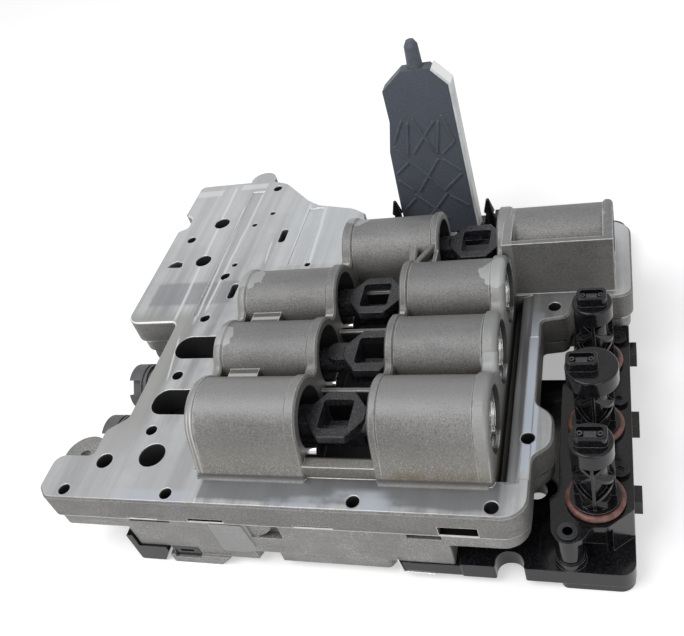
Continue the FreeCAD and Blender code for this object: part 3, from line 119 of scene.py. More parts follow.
def make_floor():
    """A white floor that keeps the shadow."""
    half = FLOOR_HALF
    corners = [(-half, -half, 0), (half, -half, 0), (half, half, 0), (-half, half, 0)]
    floor_mesh = bpy.data.meshes.new("floor")
    floor_mesh.from_pydata(corners, [], [(0, 1, 2, 3)])
    floor = bpy.data.objects.new("floor", floor_mesh)
    floor.location.z = -FLOOR_DROP
    bpy.context.scene.collection.objects.link(floor)

    material = bpy.data.materials.new("floor_white")
    material.use_nodes = True
    graph = Graph(material.node_tree)
    output = next(n for n in graph.nodes if n.type == "OUTPUT_MATERIAL")
    diffuse = graph.node("ShaderNodeBsdfDiffuse")
    diffuse.inputs["Color"].default_value = (FLOOR_GREY, FLOOR_GREY, FLOOR_GREY, 1)
    glow = graph.node("ShaderNodeEmission")
    graph.link(graph.math("MULTIPLY", seen_directly(graph), FLOOR_GLOW), glow.inputs["Strength"])
    both = graph.node("ShaderNodeAddShader")
    graph.link(diffuse.outputs[0], both.inputs[0])
    graph.link(glow.outputs[0], both.inputs[1])
    graph.link(both.outputs[0], output.inputs["Surface"])
    floor_mesh.materials.append(material)


# Rays for each rounded or sheltered point
EDGE_SAMPLES = 6
# How far the rounded normal has turned where edge wear and its painted highlight begin and where they are
# full
WEAR_HIGHLIGHT_TURN = (0.02, 0.25)
# How ragged a spot is as a share of its reach, its soft edge, and the soft ends of a streak in millimetres
SPOT_RAGGED, SPOT_SOFT, STREAK_SOFT = 0.9, 0.3, 4.0


class Graph:
    """Short names for building a node tree. A mask is a socket that is 1 in a place and 0 elsewhere."""

    def __init__(self, tree):
        self.tree = tree
        self.nodes = tree.nodes

    def node(self, kind, **settings):
        """A new node with those settings."""
        made = self.nodes.new(kind)
        for key, value in settings.items():
            setattr(made, key, value)
        return made

    def link(self, source, target):
        self.tree.links.new(source, target)

    def feed(self, socket, value):
        """Link a socket to a socket, or set it to a number or a colour."""
        if isinstance(value, bpy.types.NodeSocket):
            self.link(value, socket)
        elif isinstance(value, (tuple, list)) and len(value) == 3 and socket.type == "RGBA":
            socket.default_value = (*value, 1.0)
        else:
            socket.default_value = value

    def math(self, operation, first, second=0.0, third=0.0, clamp=False):
        """One step of arithmetic; each value is a socket or a number."""
        made = self.node("ShaderNodeMath", operation=operation, use_clamp=clamp)
        for socket, value in zip(made.inputs, (first, second, third)):
            self.feed(socket, value)
        return made.outputs[0]

    def fold(self, operation, first, *others):
        """One operation over any number of values, from left to right."""
        for other in others:
            first = self.math(operation, first, other)
        return first

    def times(self, *values):
        """The product of any number of values."""
        return self.fold("MULTIPLY", *values)

    def squared(self, value, middle):
        """The square of how far a value is from a middle."""
        return self.math("POWER", self.math("SUBTRACT", value, middle), 2.0)

    def swing(self, noise, width):
        """Noise between 0 and 1 turned into a swing of that width round 0."""
        return self.math("MULTIPLY_ADD", noise, width, -0.5 * width)

    def outside(self, mask):
        """1 where a mask is 0."""
        return self.math("SUBTRACT", 1.0, mask, clamp=True)

    def place(self):
        """Coordinates that stay with the piece, in metres."""
        return self.node("ShaderNodeTexCoord").outputs["Object"]

    def axes(self, vector):
        """The x, y and z of a vector."""
        made = self.node("ShaderNodeSeparateXYZ")
        self.link(vector, made.inputs[0])
        return made.outputs

    def facing(self):
        """The three parts of the surface's direction: to the right, to the rear and up."""
        return self.axes(self.node("ShaderNodeNewGeometry").outputs["Normal"])

    def design(self, vector):
        """The three design coordinates of a place, in millimetres."""
        parts = zip(self.axes(vector), MOVE)
        return [self.math("MULTIPLY_ADD", part, 1.0 / MM, -move) for part, move in parts]

    def stretched(self, vector, scale):
        """The place with each axis scaled; a scale below 1 draws a pattern out along that axis."""
        made = self.node("ShaderNodeMapping")
        self.link(vector, made.inputs["Vector"])
        made.inputs["Scale"].default_value = scale
        return made.outputs[0]

    def noise(self, size, vector=None, detail=2.0, rough=0.5, warp=0.0):
        """Noise between 0 and 1 whose blotches are about that size in millimetres."""
        made = self.node("ShaderNodeTexNoise")
        self.link(vector or self.place(), made.inputs["Vector"])
        made.inputs["Scale"].default_value = 1.0 / (size * MM)
        made.inputs["Detail"].default_value = detail
        made.inputs["Roughness"].default_value = rough
        made.inputs["Distortion"].default_value = warp
        return made.outputs["Fac"]

    def cells(self, size, vector):
        """Distance inside round cells of about that size in millimetres."""
        made = self.node("ShaderNodeTexVoronoi")
        self.link(vector, made.inputs["Vector"])
        made.inputs["Scale"].default_value = 1.0 / (size * MM)
        return made.outputs["Distance"]

    def between(self, value, low, high):
        """0 below low, 1 above high, smooth between them. With low above high it falls instead."""
        made = self.node("ShaderNodeMapRange", interpolation_type="SMOOTHSTEP")
        self.feed(made.inputs["Value"], value)
        made.inputs["From Min"].default_value = low
        made.inputs["From Max"].default_value = high
        return made.outputs[0]

    def inside(self, value, low, high, soft):
        """1 between low and high, 0 outside, over a soft step."""
        up = self.between(value, low - soft, low + soft)
        down = self.between(value, high - soft, high + soft)
        return self.math("SUBTRACT", up, down, clamp=True)

    def box(self, name, design):
        """1 inside a box of the table BOXES."""
        spans = zip(design, BOXES[name])
        return self.times(*(self.inside(part, *span) for part, span in spans if span))

    def spot(self, design, middle, reach, ragged):
        """1 inside a ragged ball round a point, in design millimetres."""
        total = self.fold("ADD", *(self.squared(part, centre) for part, centre in zip(design, middle)))
        far = self.math("MULTIPLY_ADD", ragged, -SPOT_RAGGED * reach, self.math("SQRT", total))
        return self.outside(self.between(far, 0.5 * reach - SPOT_SOFT, 0.5 * reach + SPOT_SOFT))

    def streak(self, x, y, first, last, half, wobble):
        """1 on a line from first to last, given as (x, y), fading to both sides."""
        slope = (last[0] - first[0]) / (last[1] - first[1])
        line = self.math("MULTIPLY_ADD", y, slope, first[0] - slope * first[1])
        off = self.math("ABSOLUTE", self.math("ADD", self.math("SUBTRACT", x, line), wobble))
        near = self.outside(self.between(off, 0.25 * half, half))
        return self.times(near, self.inside(y, first[1], last[1], STREAK_SOFT))

    def mix(self, factor, first, second):
        """The first colour where the factor is 0, the second where it is 1."""
        made = self.node("ShaderNodeMix", data_type="RGBA", clamp_factor=True)
        self.feed(made.inputs["Factor"], factor)
        self.feed(made.inputs[6], first)
        self.feed(made.inputs[7], second)
        return made.outputs[2]

    def tint(self, colour, mask, amount, tone):
        """The colour turned towards a tone, by that amount where the mask is 1."""
        return self.mix(self.times(mask, amount), colour, tone)

    def blend(self, factor, first, second):
        """As mix, for plain numbers."""
        made = self.node("ShaderNodeMix", data_type="FLOAT", clamp_factor=True)
        for socket, value in zip((made.inputs[0], made.inputs[2], made.inputs[3]), (factor, first, second)):
            self.feed(socket, value)
        return made.outputs[0]

    def round_edges(self, radius):
        """Shading normal with every sharp edge rounded."""
        made = self.node("ShaderNodeBevel", samples=EDGE_SAMPLES)
        made.inputs["Radius"].default_value = radius * MM
        return made.outputs[0]

    def bump(self, height, strength, depth, normal=None):
        """Shading normal with that height bumped in; the depth is in millimetres."""
        made = self.node("ShaderNodeBump")
        made.inputs["Strength"].default_value = strength
        made.inputs["Distance"].default_value = depth * MM
        self.feed(made.inputs["Height"], height)
        if normal is not None:
            self.link(normal, made.inputs["Normal"])
        return made.outputs[0]

    def edge_wear_highlight(self, radius):
        """Near 1 close to a convex or concave edge; it marks edges that are both worn and given a painted
        highlight.
        """
        smooth = self.round_edges(radius)
        flat = self.node("ShaderNodeNewGeometry").outputs["Normal"]
        dot = self.node("ShaderNodeVectorMath", operation="DOT_PRODUCT")
        self.link(smooth, dot.inputs[0])
        self.link(flat, dot.inputs[1])
        return self.between(self.math("SUBTRACT", 1.0, dot.outputs["Value"]), *WEAR_HIGHLIGHT_TURN)

    def crevice(self, reach):
        """1 deep in a corner or recess, 0 in the open."""
        made = self.node("ShaderNodeAmbientOcclusion", samples=EDGE_SAMPLES)
        made.inputs["Distance"].default_value = reach * MM
        return self.math("SUBTRACT", 1.0, made.outputs["AO"])


def surface(name):
    """A new material with its graph and its main shader."""
    material = bpy.data.materials.new(name)
    material.use_nodes = True
    graph = Graph(material.node_tree)
    shader = next(n for n in graph.nodes if n.type == "BSDF_PRINCIPLED")
    return material, graph, shader


# Tones of the two castings

CAST_DARK, CAST_LIGHT = (0.165, 0.163, 0.158), (0.215, 0.213, 0.207)
CAST_SPECK, CAST_PIT = (0.36, 0.355, 0.34), (0.085, 0.084, 0.082)
CAST_SMUDGE = (0.105, 0.107, 0.113)
CAST_WARMTH = (0.06, 0.052, 0.044)
MIDDLE_ROW_SHADE = (0.03, 0.028, 0.026)
WALL_METAL = (0.31, 0.312, 0.31)
LINE_HIGHLIGHT = (0.62, 0.61, 0.58)
CROWN_SHEEN, FRONT_CROWN_SHEEN = (0.20, 0.206, 0.218), (0.25, 0.252, 0.256)
WEB_SHADE, WEB_HIGHLIGHT = (0.10, 0.098, 0.095), (0.55, 0.55, 0.54)
SHAVED_METAL = (0.33, 0.333, 0.335)
SLOPE_DARK, SLOPE_LIGHT = (0.18, 0.182, 0.19), (0.34, 0.345, 0.355)
LOW_SIDE_REFLECTION, LOW_FRONT_REFLECTION = (0.20, 0.190, 0.175), (0.27, 0.253, 0.222)
GLINT = (0.66, 0.64, 0.59)
WORN_EDGE_HIGHLIGHT = (0.80, 0.80, 0.78)
STEP_HIGHLIGHT = (0.80, 0.80, 0.79)
LEDGE_SHADOW = (0.13, 0.132, 0.138)
LOWER_LIFT, LOWER_GLINT, LOWER_EDGE_HIGHLIGHT = (0.42, 0.415, 0.40), (0.75, 0.75, 0.73), (0.60, 0.60, 0.59)
PAD_METAL = (0.30, 0.31, 0.305)

MILLED_DARK, MILLED_LIGHT = (0.26, 0.265, 0.275), (0.46, 0.465, 0.47)
MILLED_CLOUD, MILLED_REAR_SHEEN = (0.27, 0.273, 0.28), (0.56, 0.57, 0.58)
BRIGHT_CUT = (0.66, 0.67, 0.68)
DULL_STRIP = (0.30, 0.297, 0.285)
DARK_PATCH = (0.22, 0.23, 0.245)
BLUE_CORNER_REFLECTION = (0.55, 0.58, 0.62)
FRONT_BAND, FRONT_LEFT_HIGHLIGHT = (0.175, 0.18, 0.19), (0.42, 0.423, 0.43)
SIDE_REFLECTION = (0.47, 0.52, 0.60)
HAZE_REFLECTION = (0.42, 0.45, 0.50)

OIL_BROWN_SHADE, CONTACT_SHADE, STAIN_BROWN = (0.080, 0.064, 0.044), (0.042, 0.032, 0.022), (0.15, 0.115, 0.06)
RECESS_SHADE, DEEP_SHADE = (0.032, 0.032, 0.036), (0.012, 0.012, 0.014)

# Places on the castings, in design millimetres

# (low, high, soft) along x, y and z; None where that axis doesn't matter
BOXES = {
    "dark_patch": ((-131.0, -73.0, 1.5), (20.0, 41.0, 1.5), None),
    "blue_corner": ((-53.0, -6.0, 2.0), (53.0, 130.0, 1.5), None),
    "bright_corner": ((-141.0, -120.0, 1.0), (138.0, 145.0, 1.0), None),
    "bright_rear_edge": ((-106.0, -85.0, 1.0), (143.0, 149.0, 1.0), None),
    "front_band": ((-43.0, 104.0, 1.0), (-121.5, -104.0, 1.2), None),
    "bolt_reflection": ((24.0, 52.0, 6.0), (-124.0, -113.5, 2.0), None),
    "front_reflection": ((-100.0, 60.0, 6.0), (-126.0, -117.5, 1.5), None),
    "side_reflection": ((111.6, 118.0, 0.3), (-100.0, 2.0, 2.0), None),
    "slope": ((103.2, 111.7, 0.2), (-107.0, 18.0, 1.0), (-4.5, 0.3, 0.1)),
    "trench": ((102.5, 112.2, 0.2), (-108.0, 19.0, 0.5), (-6.0, 1.0, 0.2)),
    "webs": ((-46.0, 60.0, 0.3), None, (20.0, 24.6, 0.2)),
    "oil_stain": ((54.0, 98.0, 8.0), (-112.0, -103.0, 1.5), (0.0, 7.0, 3.0)),
    "ledge": ((-47.0, 102.0, 0.5), (-114.0, -108.2, 0.3), (0.2, 3.4, 0.2)),
    "front_trough": ((12.2, 46.8, 0.2), (-101.8, 22.2, 0.2), (-13.0, 10.5, 0.3)),
    "rear_trough": ((62.2, 97.8, 0.2), (24.8, 78.2, 0.2), (-13.0, 10.5, 0.3)),
    "pockets": ((-96.0, -55.5, 0.3), (-69.3, -8.7, 0.3), (-17.0, -0.5, 0.3)),
    "step_edges": ((-140.0, -18.0, 0.5), (-5.0, 147.0, 0.5), (-0.78, -0.02, 0.02)),
    "front_pad": ((-43.0, -22.0, 0.3), (-127.0, -121.0, 0.5), (-43.0, -18.0, 0.3)),
}
# Plain patches of the milled face: box, amount and tone. The blue corner is a painted reflection.
FACE_PATCHES = [
    ("dark_patch", 0.65, DARK_PATCH),
    ("blue_corner", 0.35, BLUE_CORNER_REFLECTION),
    ("bright_corner", 0.7, BRIGHT_CUT),
    ("bright_rear_edge", 0.7, BRIGHT_CUT),
]
# Tool marks on the mounting face: first and last point, and half the width
TOOL_MARKS = [
    ((-105.9, 6.3), (-110.5, 147.0), 1.6),
    ((-91.7, 3.9), (-95.7, 121.4), 1.2),
    ((-88.0, 14.4), (-86.1, 138.1), 1.4),
    ((-60.6, 58.0), (-61.9, 78.5), 1.0),
    ((-43.5, 56.5), (-44.5, 118.2), 1.5),
    ((-28.8, 55.2), (-32.0, 115.5), 1.6),
    ((-90.9, -43.0), (-96.6, -10.0), 0.9),
    ((-42.9, -124.0), (-42.5, -109.0), 0.8),
]
# The two painted highlight lines on the front left wall, along x
HIGHLIGHT_LINES = [(-44.6, -43.9), (-42.7, -42.1)]
# Middles of the cylinder rows and of the valleys between them along y, and half the width of a valley's
# painted highlight line
ROW_MIDDLES = (-83.0, -41.0, 1.0, 43.0)
VALLEYS, VALLEY_HALF = (-62.0, -20.0, 22.0), 1.1
# The bores' height and radius, and how far outside them the painted shade's edge begins and ends
AXIS_HEIGHT, BORE_RADIUS = 15.5, 15.5
BORE_OUTER, BORE_INNER = 0.5, 0.2
# How far outside a hole its painted shade begins
HOLE_MARGIN = 0.3
# Ports and bolt holes in the mounting face: x, y and radius
HOLES = [
    (-107.6, 103.7, 5.65), (-107.3, 63.2, 5.65), (-77.9, -96.4, 7.5), (-105.0, -100.9, 4.7),
    (-120.8, -119.5, 3.3), (-60.3, -119.5, 3.3), (37.7, -119.5, 3.3), (100.9, -119.5, 3.3),
    (-85.3, -80.1, 3.3), (-85.3, -40.3, 3.3), (-85.3, 7.0, 3.3), (-85.3, 46.3, 3.3),
    (-76.0, 141.0, 3.3), (-125.4, 87.0, 3.3), (114.1, -81.3, 3.3), (122.8, 6.0, 3.3),
]
# Cuts where a raised spot of the casting was shaved: middle and reach
SHAVED_SPOTS = [
    ((-42.0, 4.0, 33.5), 10.0),
    ((-43.0, -43.0, 33.0), 7.0),
    ((-50.0, -72.0, 32.0), 8.0),
    ((-50.5, -84.0, 34.0), 7.0),
    ((97.5, -2.5, 34.0), 9.0),
    ((98.0, -27.5, 25.0), 6.0),
    ((99.0, -57.5, 25.0), 6.0),
    ((12.0, 52.0, 34.5), 8.0),
    ((4.0, 57.0, 33.0), 6.0),
]


def cast_skin(g, place):
    """Colour, fine height and roughness of a blasted cast surface."""
    patches = g.noise(30, place, detail=3)
    fine = g.noise(0.7, place, detail=2, rough=0.6)
    grain = g.cells(0.7, place)
    smudge = g.noise(5, g.stretched(place, (0.3, 1.0, 1.0)), detail=4, rough=0.7)
    skin = g.mix(g.between(patches, 0.3, 0.7), CAST_DARK, CAST_LIGHT)
    skin = g.tint(skin, g.between(fine, 0.5, 0.75), 0.7, CAST_SPECK)
    skin = g.tint(skin, g.between(grain, 0.4, 0.85), 0.6, CAST_PIT)
    skin = g.tint(skin, g.between(smudge, 0.5, 0.72), 0.5, CAST_SMUDGE)
    height = g.math("ADD", g.times(fine, 0.6), g.times(grain, 0.4))
    return skin, height, g.blend(fine, 0.42, 0.62)


def sparkles(g, place, mask):
    """Painted glints: tiny bright grains where the mask is 1."""
    grains = g.outside(g.between(g.cells(0.6, place), 0.18, 0.42))
    chosen = g.between(g.noise(1.3, place, detail=1), 0.34, 0.52)
    return g.times(grains, chosen, mask)


def inside_bores(g, y, z):
    """1 within the cylinder bores, seen along them."""
    nearest = g.fold("MINIMUM", *(g.squared(y, middle) for middle in ROW_MIDDLES))
    away = g.math("SQRT", g.math("ADD", g.squared(z, AXIS_HEIGHT), nearest))
    return g.between(away, BORE_RADIUS + BORE_OUTER, BORE_RADIUS + BORE_INNER)


def inside_holes(g, x, y):
    """1 inside the ports and bolt holes, seen from above."""
    found = []
    for middle_x, middle_y, radius in HOLES:
        away = g.math("ADD", g.squared(x, middle_x), g.squared(y, middle_y))
        found.append(g.math("LESS_THAN", away, (radius + HOLE_MARGIN) ** 2))
    return g.fold("MAXIMUM", *found)


def milled_face(g, place, design, bands, brushed):
    """The mounting face: cutter bands, clouds and tool marks, and its dull, dark and bright places, with
    painted light: lighter towards the rear, a highlight at the front left, and bluish reflections.
    """
    x, y, z = design
    cloud = g.noise(24, place, detail=4, rough=0.6)
    wobble = g.swing(g.noise(16, place, detail=1), 3.0)
    slight = g.times(wobble, 0.35)
    colour = g.mix(g.between(bands, 0.32, 0.68), MILLED_DARK, MILLED_LIGHT)
    colour = g.tint(colour, g.between(brushed, 0.35, 0.75), 0.18, BRIGHT_CUT)
    colour = g.tint(colour, g.between(cloud, 0.42, 0.66), 0.4, MILLED_CLOUD)
    # Painted sheen: the face grows lighter towards the rear.
    rear_sheen = g.between(g.math("ADD", y, g.times(wobble, 4.0)), -10.0, 110.0)
    colour = g.tint(colour, rear_sheen, 0.45, MILLED_REAR_SHEEN)

    strip_edge = g.math("MULTIPLY_ADD", wobble, 1.6, -93.5)
    strip = g.outside(g.between(g.math("SUBTRACT", x, strip_edge), -0.8, 0.8))
    colour = g.tint(colour, g.times(strip, g.inside(y, -95.0, 12.0, 6.0)), 0.75, DULL_STRIP)
    for name, amount, tone in FACE_PATCHES:
        colour = g.tint(colour, g.box(name, design), amount, tone)
    for first, last, half in TOOL_MARKS:
        colour = g.tint(colour, g.streak(x, y, first, last, half, slight), 0.75, BRIGHT_CUT)

    wavy = (x, g.math("ADD", y, wobble), z)
    colour = g.tint(colour, g.box("front_band", wavy), 0.9, FRONT_BAND)
    # Painted highlight on the front left of the face.
    front_left_highlight = g.times(g.between(x, -43.0, -46.0), g.between(y, -62.0, -92.0))
    colour = g.tint(colour, front_left_highlight, 0.5, FRONT_LEFT_HIGHLIGHT)
    # Painted bluish reflections on the front flange, round the bolts and along it.
    halo_reflection = g.times(g.box("bolt_reflection", design), g.between(cloud, 0.35, 0.6))
    colour = g.tint(colour, halo_reflection, 0.8, HAZE_REFLECTION)
    haze_reflection = g.times(g.between(cloud, 0.4, 0.6), g.box("front_reflection", design))
    colour = g.tint(colour, haze_reflection, 0.7, HAZE_REFLECTION)
    # Painted bluish reflection on the band at the right.
    return g.tint(colour, g.box("side_reflection", design), 0.75, SIDE_REFLECTION)


def cylinder_skin(g, skin, design, upward, level, ragged):
    """The cast skin with painted shade on the middle rows, lighter end walls, two painted highlight lines,
    painted sheen on the crowns, and painted shade with highlight lines on the webs.
    """
    x, y, z = design
    above_face = g.between(z, 1.0, 3.0)
    skin = g.mix(0.12, skin, CAST_WARMTH)
    # Painted shade on the middle two rows.
    skin = g.tint(skin, g.times(g.inside(y, -61.0, 21.0, 3.0), above_face), 0.14, MIDDLE_ROW_SHADE)

    torn_x = g.math("ADD", x, g.swing(ragged, 5.0))
    left_wall = g.between(torn_x, -40.5, -41.5)
    right_wall = g.times(g.between(torn_x, 94.5, 95.5), g.between(x, 104.0, 103.0))
    walls = g.times(g.math("MAXIMUM", left_wall, right_wall), above_face)
    skin = g.tint(skin, walls, 0.55, WALL_METAL)
    # Two thin painted highlight lines low on the front left wall.
    line_highlights = g.fold("MAXIMUM", *(g.inside(x, low, high, 0.2) for low, high in HIGHLIGHT_LINES))
    line_highlights = g.times(line_highlights, g.between(y, -92.0, -97.0), g.between(z, 1.5, 4.0))
    skin = g.tint(skin, line_highlights, 0.8, LINE_HIGHLIGHT)

    # Painted sheen: the cylinders' tops a little lighter and cooler, the front row's tops lighter still.
    crown_sheen = g.times(g.between(upward, 0.7, 0.98), g.between(z, 24.0, 28.0))
    skin = g.tint(skin, crown_sheen, 0.35, CROWN_SHEEN)
    skin = g.tint(skin, g.times(crown_sheen, g.between(y, -62.0, -64.0)), 0.5, FRONT_CROWN_SHEEN)
    # Painted shade on the flat web tops between the cylinders, with a painted highlight line along the
    # middle of each valley.
    webs = g.times(g.box("webs", design), level)
    skin = g.tint(skin, webs, 0.7, WEB_SHADE)
    for valley in VALLEYS:
        line = g.times(webs, g.inside(y, valley - VALLEY_HALF, valley + VALLEY_HALF, 0.4))
        skin = g.tint(skin, line, 0.8, WEB_HIGHLIGHT)
    return skin


def painted_light_wear_and_oil(g, colour, place, design, cut, ragged, shade, off_trench):
    """Painted warm floor reflection on the cylinders' feet with painted glints, then worn edges with
    painted highlight, painted shade in the corners and creases, an oil stain, and painted shadow on the
    front ledge.
    """
    _, y, z = design
    # Painted reflection of the floor: warmer, lighter lower sides of the cylinders, strongest on the front
    # row's lower front, with painted glints there.
    low_front = g.times(g.between(y, -97.0, -110.0), g.between(z, 26.0, 6.0), g.between(z, 0.5, 1.5))
    low_side = g.times(g.between(z, 30.0, 10.0), g.between(z, 1.0, 2.0))
    colour = g.tint(colour, low_side, 0.35, LOW_SIDE_REFLECTION)
    colour = g.tint(colour, low_front, 0.35, LOW_FRONT_REFLECTION)
    glint_zone = g.math("MAXIMUM", low_front, g.math("MULTIPLY_ADD", low_side, 0.3, 0.08))
    glint_zone = g.times(glint_zone, g.outside(cut))
    colour = g.tint(colour, sparkles(g, place, glint_zone), 0.6, GLINT)

    # Edge wear, lightened further as a painted highlight.
    wear_highlight = g.times(g.edge_wear_highlight(1.1), g.between(g.noise(6, place, detail=2), 0.1, 0.45))
    colour = g.tint(colour, wear_highlight, 0.9, WORN_EDGE_HIGHLIGHT)
    # Painted shade in corners and recesses, in an oil-brown tone.
    dirt = g.times(g.between(shade, 0.35, 0.9), off_trench)
    colour = g.tint(colour, dirt, 0.85, OIL_BROWN_SHADE)
    # Painted contact shade: dark lines in narrow creases above the mounting face.
    contact_shade = g.times(g.between(g.crevice(3), 0.42, 0.8), g.between(z, 0.5, 2.0))
    colour = g.tint(colour, contact_shade, 0.85, CONTACT_SHADE)
    oil = g.times(g.box("oil_stain", design), g.between(ragged, 0.25, 0.7))
    colour = g.tint(colour, oil, 0.65, STAIN_BROWN)
    # Painted shadow on the front ledge.
    return g.tint(colour, g.box("ledge", design), 0.6, LEDGE_SHADOW)


def painted_recess_shade(g, colour, design, rightward, shade, off_trench):
    """Painted shade: troughs, pockets, bores and holes painted near black."""
    x, y, z = design
    # Painted shade: the troughs, pockets and the bores' closed ends near black.
    recesses = [g.box(name, design) for name in ("front_trough", "rear_trough", "pockets")]
    # Faces that look left are the closed end walls, which have the bores behind them, and they get none of
    # this painted shade.
    bores = g.times(inside_bores(g, y, z), g.between(z, 0.6, 1.2), g.between(rightward, -0.9, -0.6))
    colour = g.tint(colour, g.fold("MAXIMUM", *recesses, bores), 0.93, RECESS_SHADE)
    # Painted shade deep in hollows below the mounting face.
    deep = g.times(g.between(shade, 0.62, 0.86), g.between(z, -0.2, -1.0), off_trench)
    colour = g.tint(colour, deep, 0.9, DEEP_SHADE)
    # Painted shade in the ports and bolt holes.
    drilled = g.times(inside_holes(g, x, y), g.between(z, -0.5, -1.5))
    return g.tint(colour, drilled, 0.9, RECESS_SHADE)


def upper_casting():
    """Blasted cast skin on the cylinders, milled and tool-marked on the mounting face."""
    material, g, shader = surface("upper_casting")
    place = g.place()
    design = g.design(place)
    rightward, _, upward = g.facing()
    skin, grain_height, skin_rough = cast_skin(g, place)
    ragged = g.noise(4.5, place, detail=2)
    bands = g.noise(8, g.stretched(place, (1.0, 0.03, 0.03)), detail=2, rough=0.6)
    brushed = g.noise(2.2, g.stretched(place, (1.0, 0.12, 1.0)), detail=3, rough=0.7)

    # face is the milled face, and cut is that and the shaved spots
    level = g.between(upward, 0.97, 0.995)
    face = g.times(g.inside(design[2], -1.3, 0.4, 0.1), level)
    spots = [g.spot(design, middle, reach, ragged) for middle, reach in SHAVED_SPOTS]
    cut = g.fold("MAXIMUM", face, *spots)
    shaved = g.math("SUBTRACT", cut, face, clamp=True)

    skin = cylinder_skin(g, skin, design, upward, level, ragged)
    colour = g.mix(cut, skin, milled_face(g, place, design, bands, brushed))
    colour = g.tint(colour, shaved, 0.85, SHAVED_METAL)
    slope_streaks = g.noise(3.0, g.stretched(place, (1.0, 0.05, 1.0)), detail=3)
    slope_colour = g.mix(g.between(slope_streaks, 0.35, 0.7), SLOPE_DARK, SLOPE_LIGHT)
    colour = g.mix(g.box("slope", design), colour, slope_colour)
    off_trench = g.math("MULTIPLY_ADD", g.box("trench", design), -0.8, 1.0)
    shade = g.crevice(9)
    colour = painted_light_wear_and_oil(g, colour, place, design, cut, ragged, shade, off_trench)
    colour = painted_recess_shade(g, colour, design, rightward, shade, off_trench)
    # Painted highlights on the small step walls of the milled face and the rims of its holes.
    step_highlights = g.times(g.box("step_edges", design), g.outside(level))
    colour = g.tint(colour, step_highlights, 0.85, STEP_HIGHLIGHT)

    g.link(colour, shader.inputs["Base Color"])
    g.link(g.blend(face, 0.45, 0.75), shader.inputs["Metallic"])
    cut_rough = g.blend(shaved, g.blend(bands, 0.3, 0.42), 0.6)
    g.link(g.blend(cut, skin_rough, cut_rough), shader.inputs["Roughness"])
    height = g.blend(cut, grain_height, g.times(brushed, 0.12))
    g.link(g.bump(height, 0.75, 0.24, g.round_edges(0.8)), shader.inputs["Normal"])
    return material


def lower_casting():
    """The same skin a little lighter, with painted glints on its grains, worn edges lightened as a painted
    highlight, and painted shade in an oil-brown tone along its seams.
    """
    material, g, shader = surface("lower_casting")
    place = g.place()
    skin, height, rough = cast_skin(g, place)
    colour = g.mix(0.14, skin, LOWER_LIFT)
    glints = sparkles(g, place, g.between(g.noise(18, place), 0.4, 0.6))
    colour = g.tint(colour, glints, 0.6, LOWER_GLINT)
    colour = g.tint(colour, g.box("front_pad", g.design(place)), 0.6, PAD_METAL)
    # Edge wear, lightened further as a painted highlight.
    colour = g.tint(colour, g.edge_wear_highlight(0.7), 0.6, LOWER_EDGE_HIGHLIGHT)
    # Painted shade in corners and seams, in an oil-brown tone.
    colour = g.tint(colour, g.between(g.crevice(6), 0.35, 0.95), 0.7, OIL_BROWN_SHADE)
    g.link(colour, shader.inputs["Base Color"])
    shader.inputs["Metallic"].default_value = 0.5
    g.link(rough, shader.inputs["Roughness"])
    g.link(g.bump(height, 0.4, 0.15, g.round_edges(0.8)), shader.inputs["Normal"])
    return material


UPWARD_DARK_TONE = (0.03, 0.027, 0.022)

# Darkest and lightest tone, roughness, and where they differ from the usual: the size of the marks in
# millimetres, how they are stretched, and how much the upward faces are darkened
STEELS = {
    "plate_steel": dict(dark=(0.44, 0.44, 0.43), light=(0.60, 0.60, 0.59), roughness=0.32,
                        along=(0.1, 1, 1), top_dark=0.95),
    "turned_steel": dict(dark=(0.55, 0.55, 0.54), light=(0.74, 0.74, 0.73), roughness=0.14, grain_size=0.6),
    "ground_steel": dict(dark=(0.40, 0.41, 0.42), light=(0.52, 0.53, 0.54), roughness=0.25),
    "spring_steel": dict(dark=(0.20, 0.20, 0.21), light=(0.32, 0.32, 0.33), roughness=0.35),
    "screw_steel": dict(dark=(0.10, 0.10, 0.10), light=(0.20, 0.20, 0.20), roughness=0.35),
    "can_steel": dict(dark=(0.25, 0.25, 0.25), light=(0.36, 0.36, 0.36), roughness=0.32),
    "contact_metal": dict(dark=(0.05, 0.05, 0.052), light=(0.10, 0.10, 0.105), roughness=0.35),
    "bright_rings": dict(dark=(0.52, 0.52, 0.51), light=(0.70, 0.70, 0.69), roughness=0.2),
    "dark_bushing": dict(dark=(0.035, 0.036, 0.04), light=(0.075, 0.077, 0.082), roughness=0.3),
    "dark_screws": dict(dark=(0.025, 0.025, 0.027), light=(0.055, 0.056, 0.06), roughness=0.3),
}
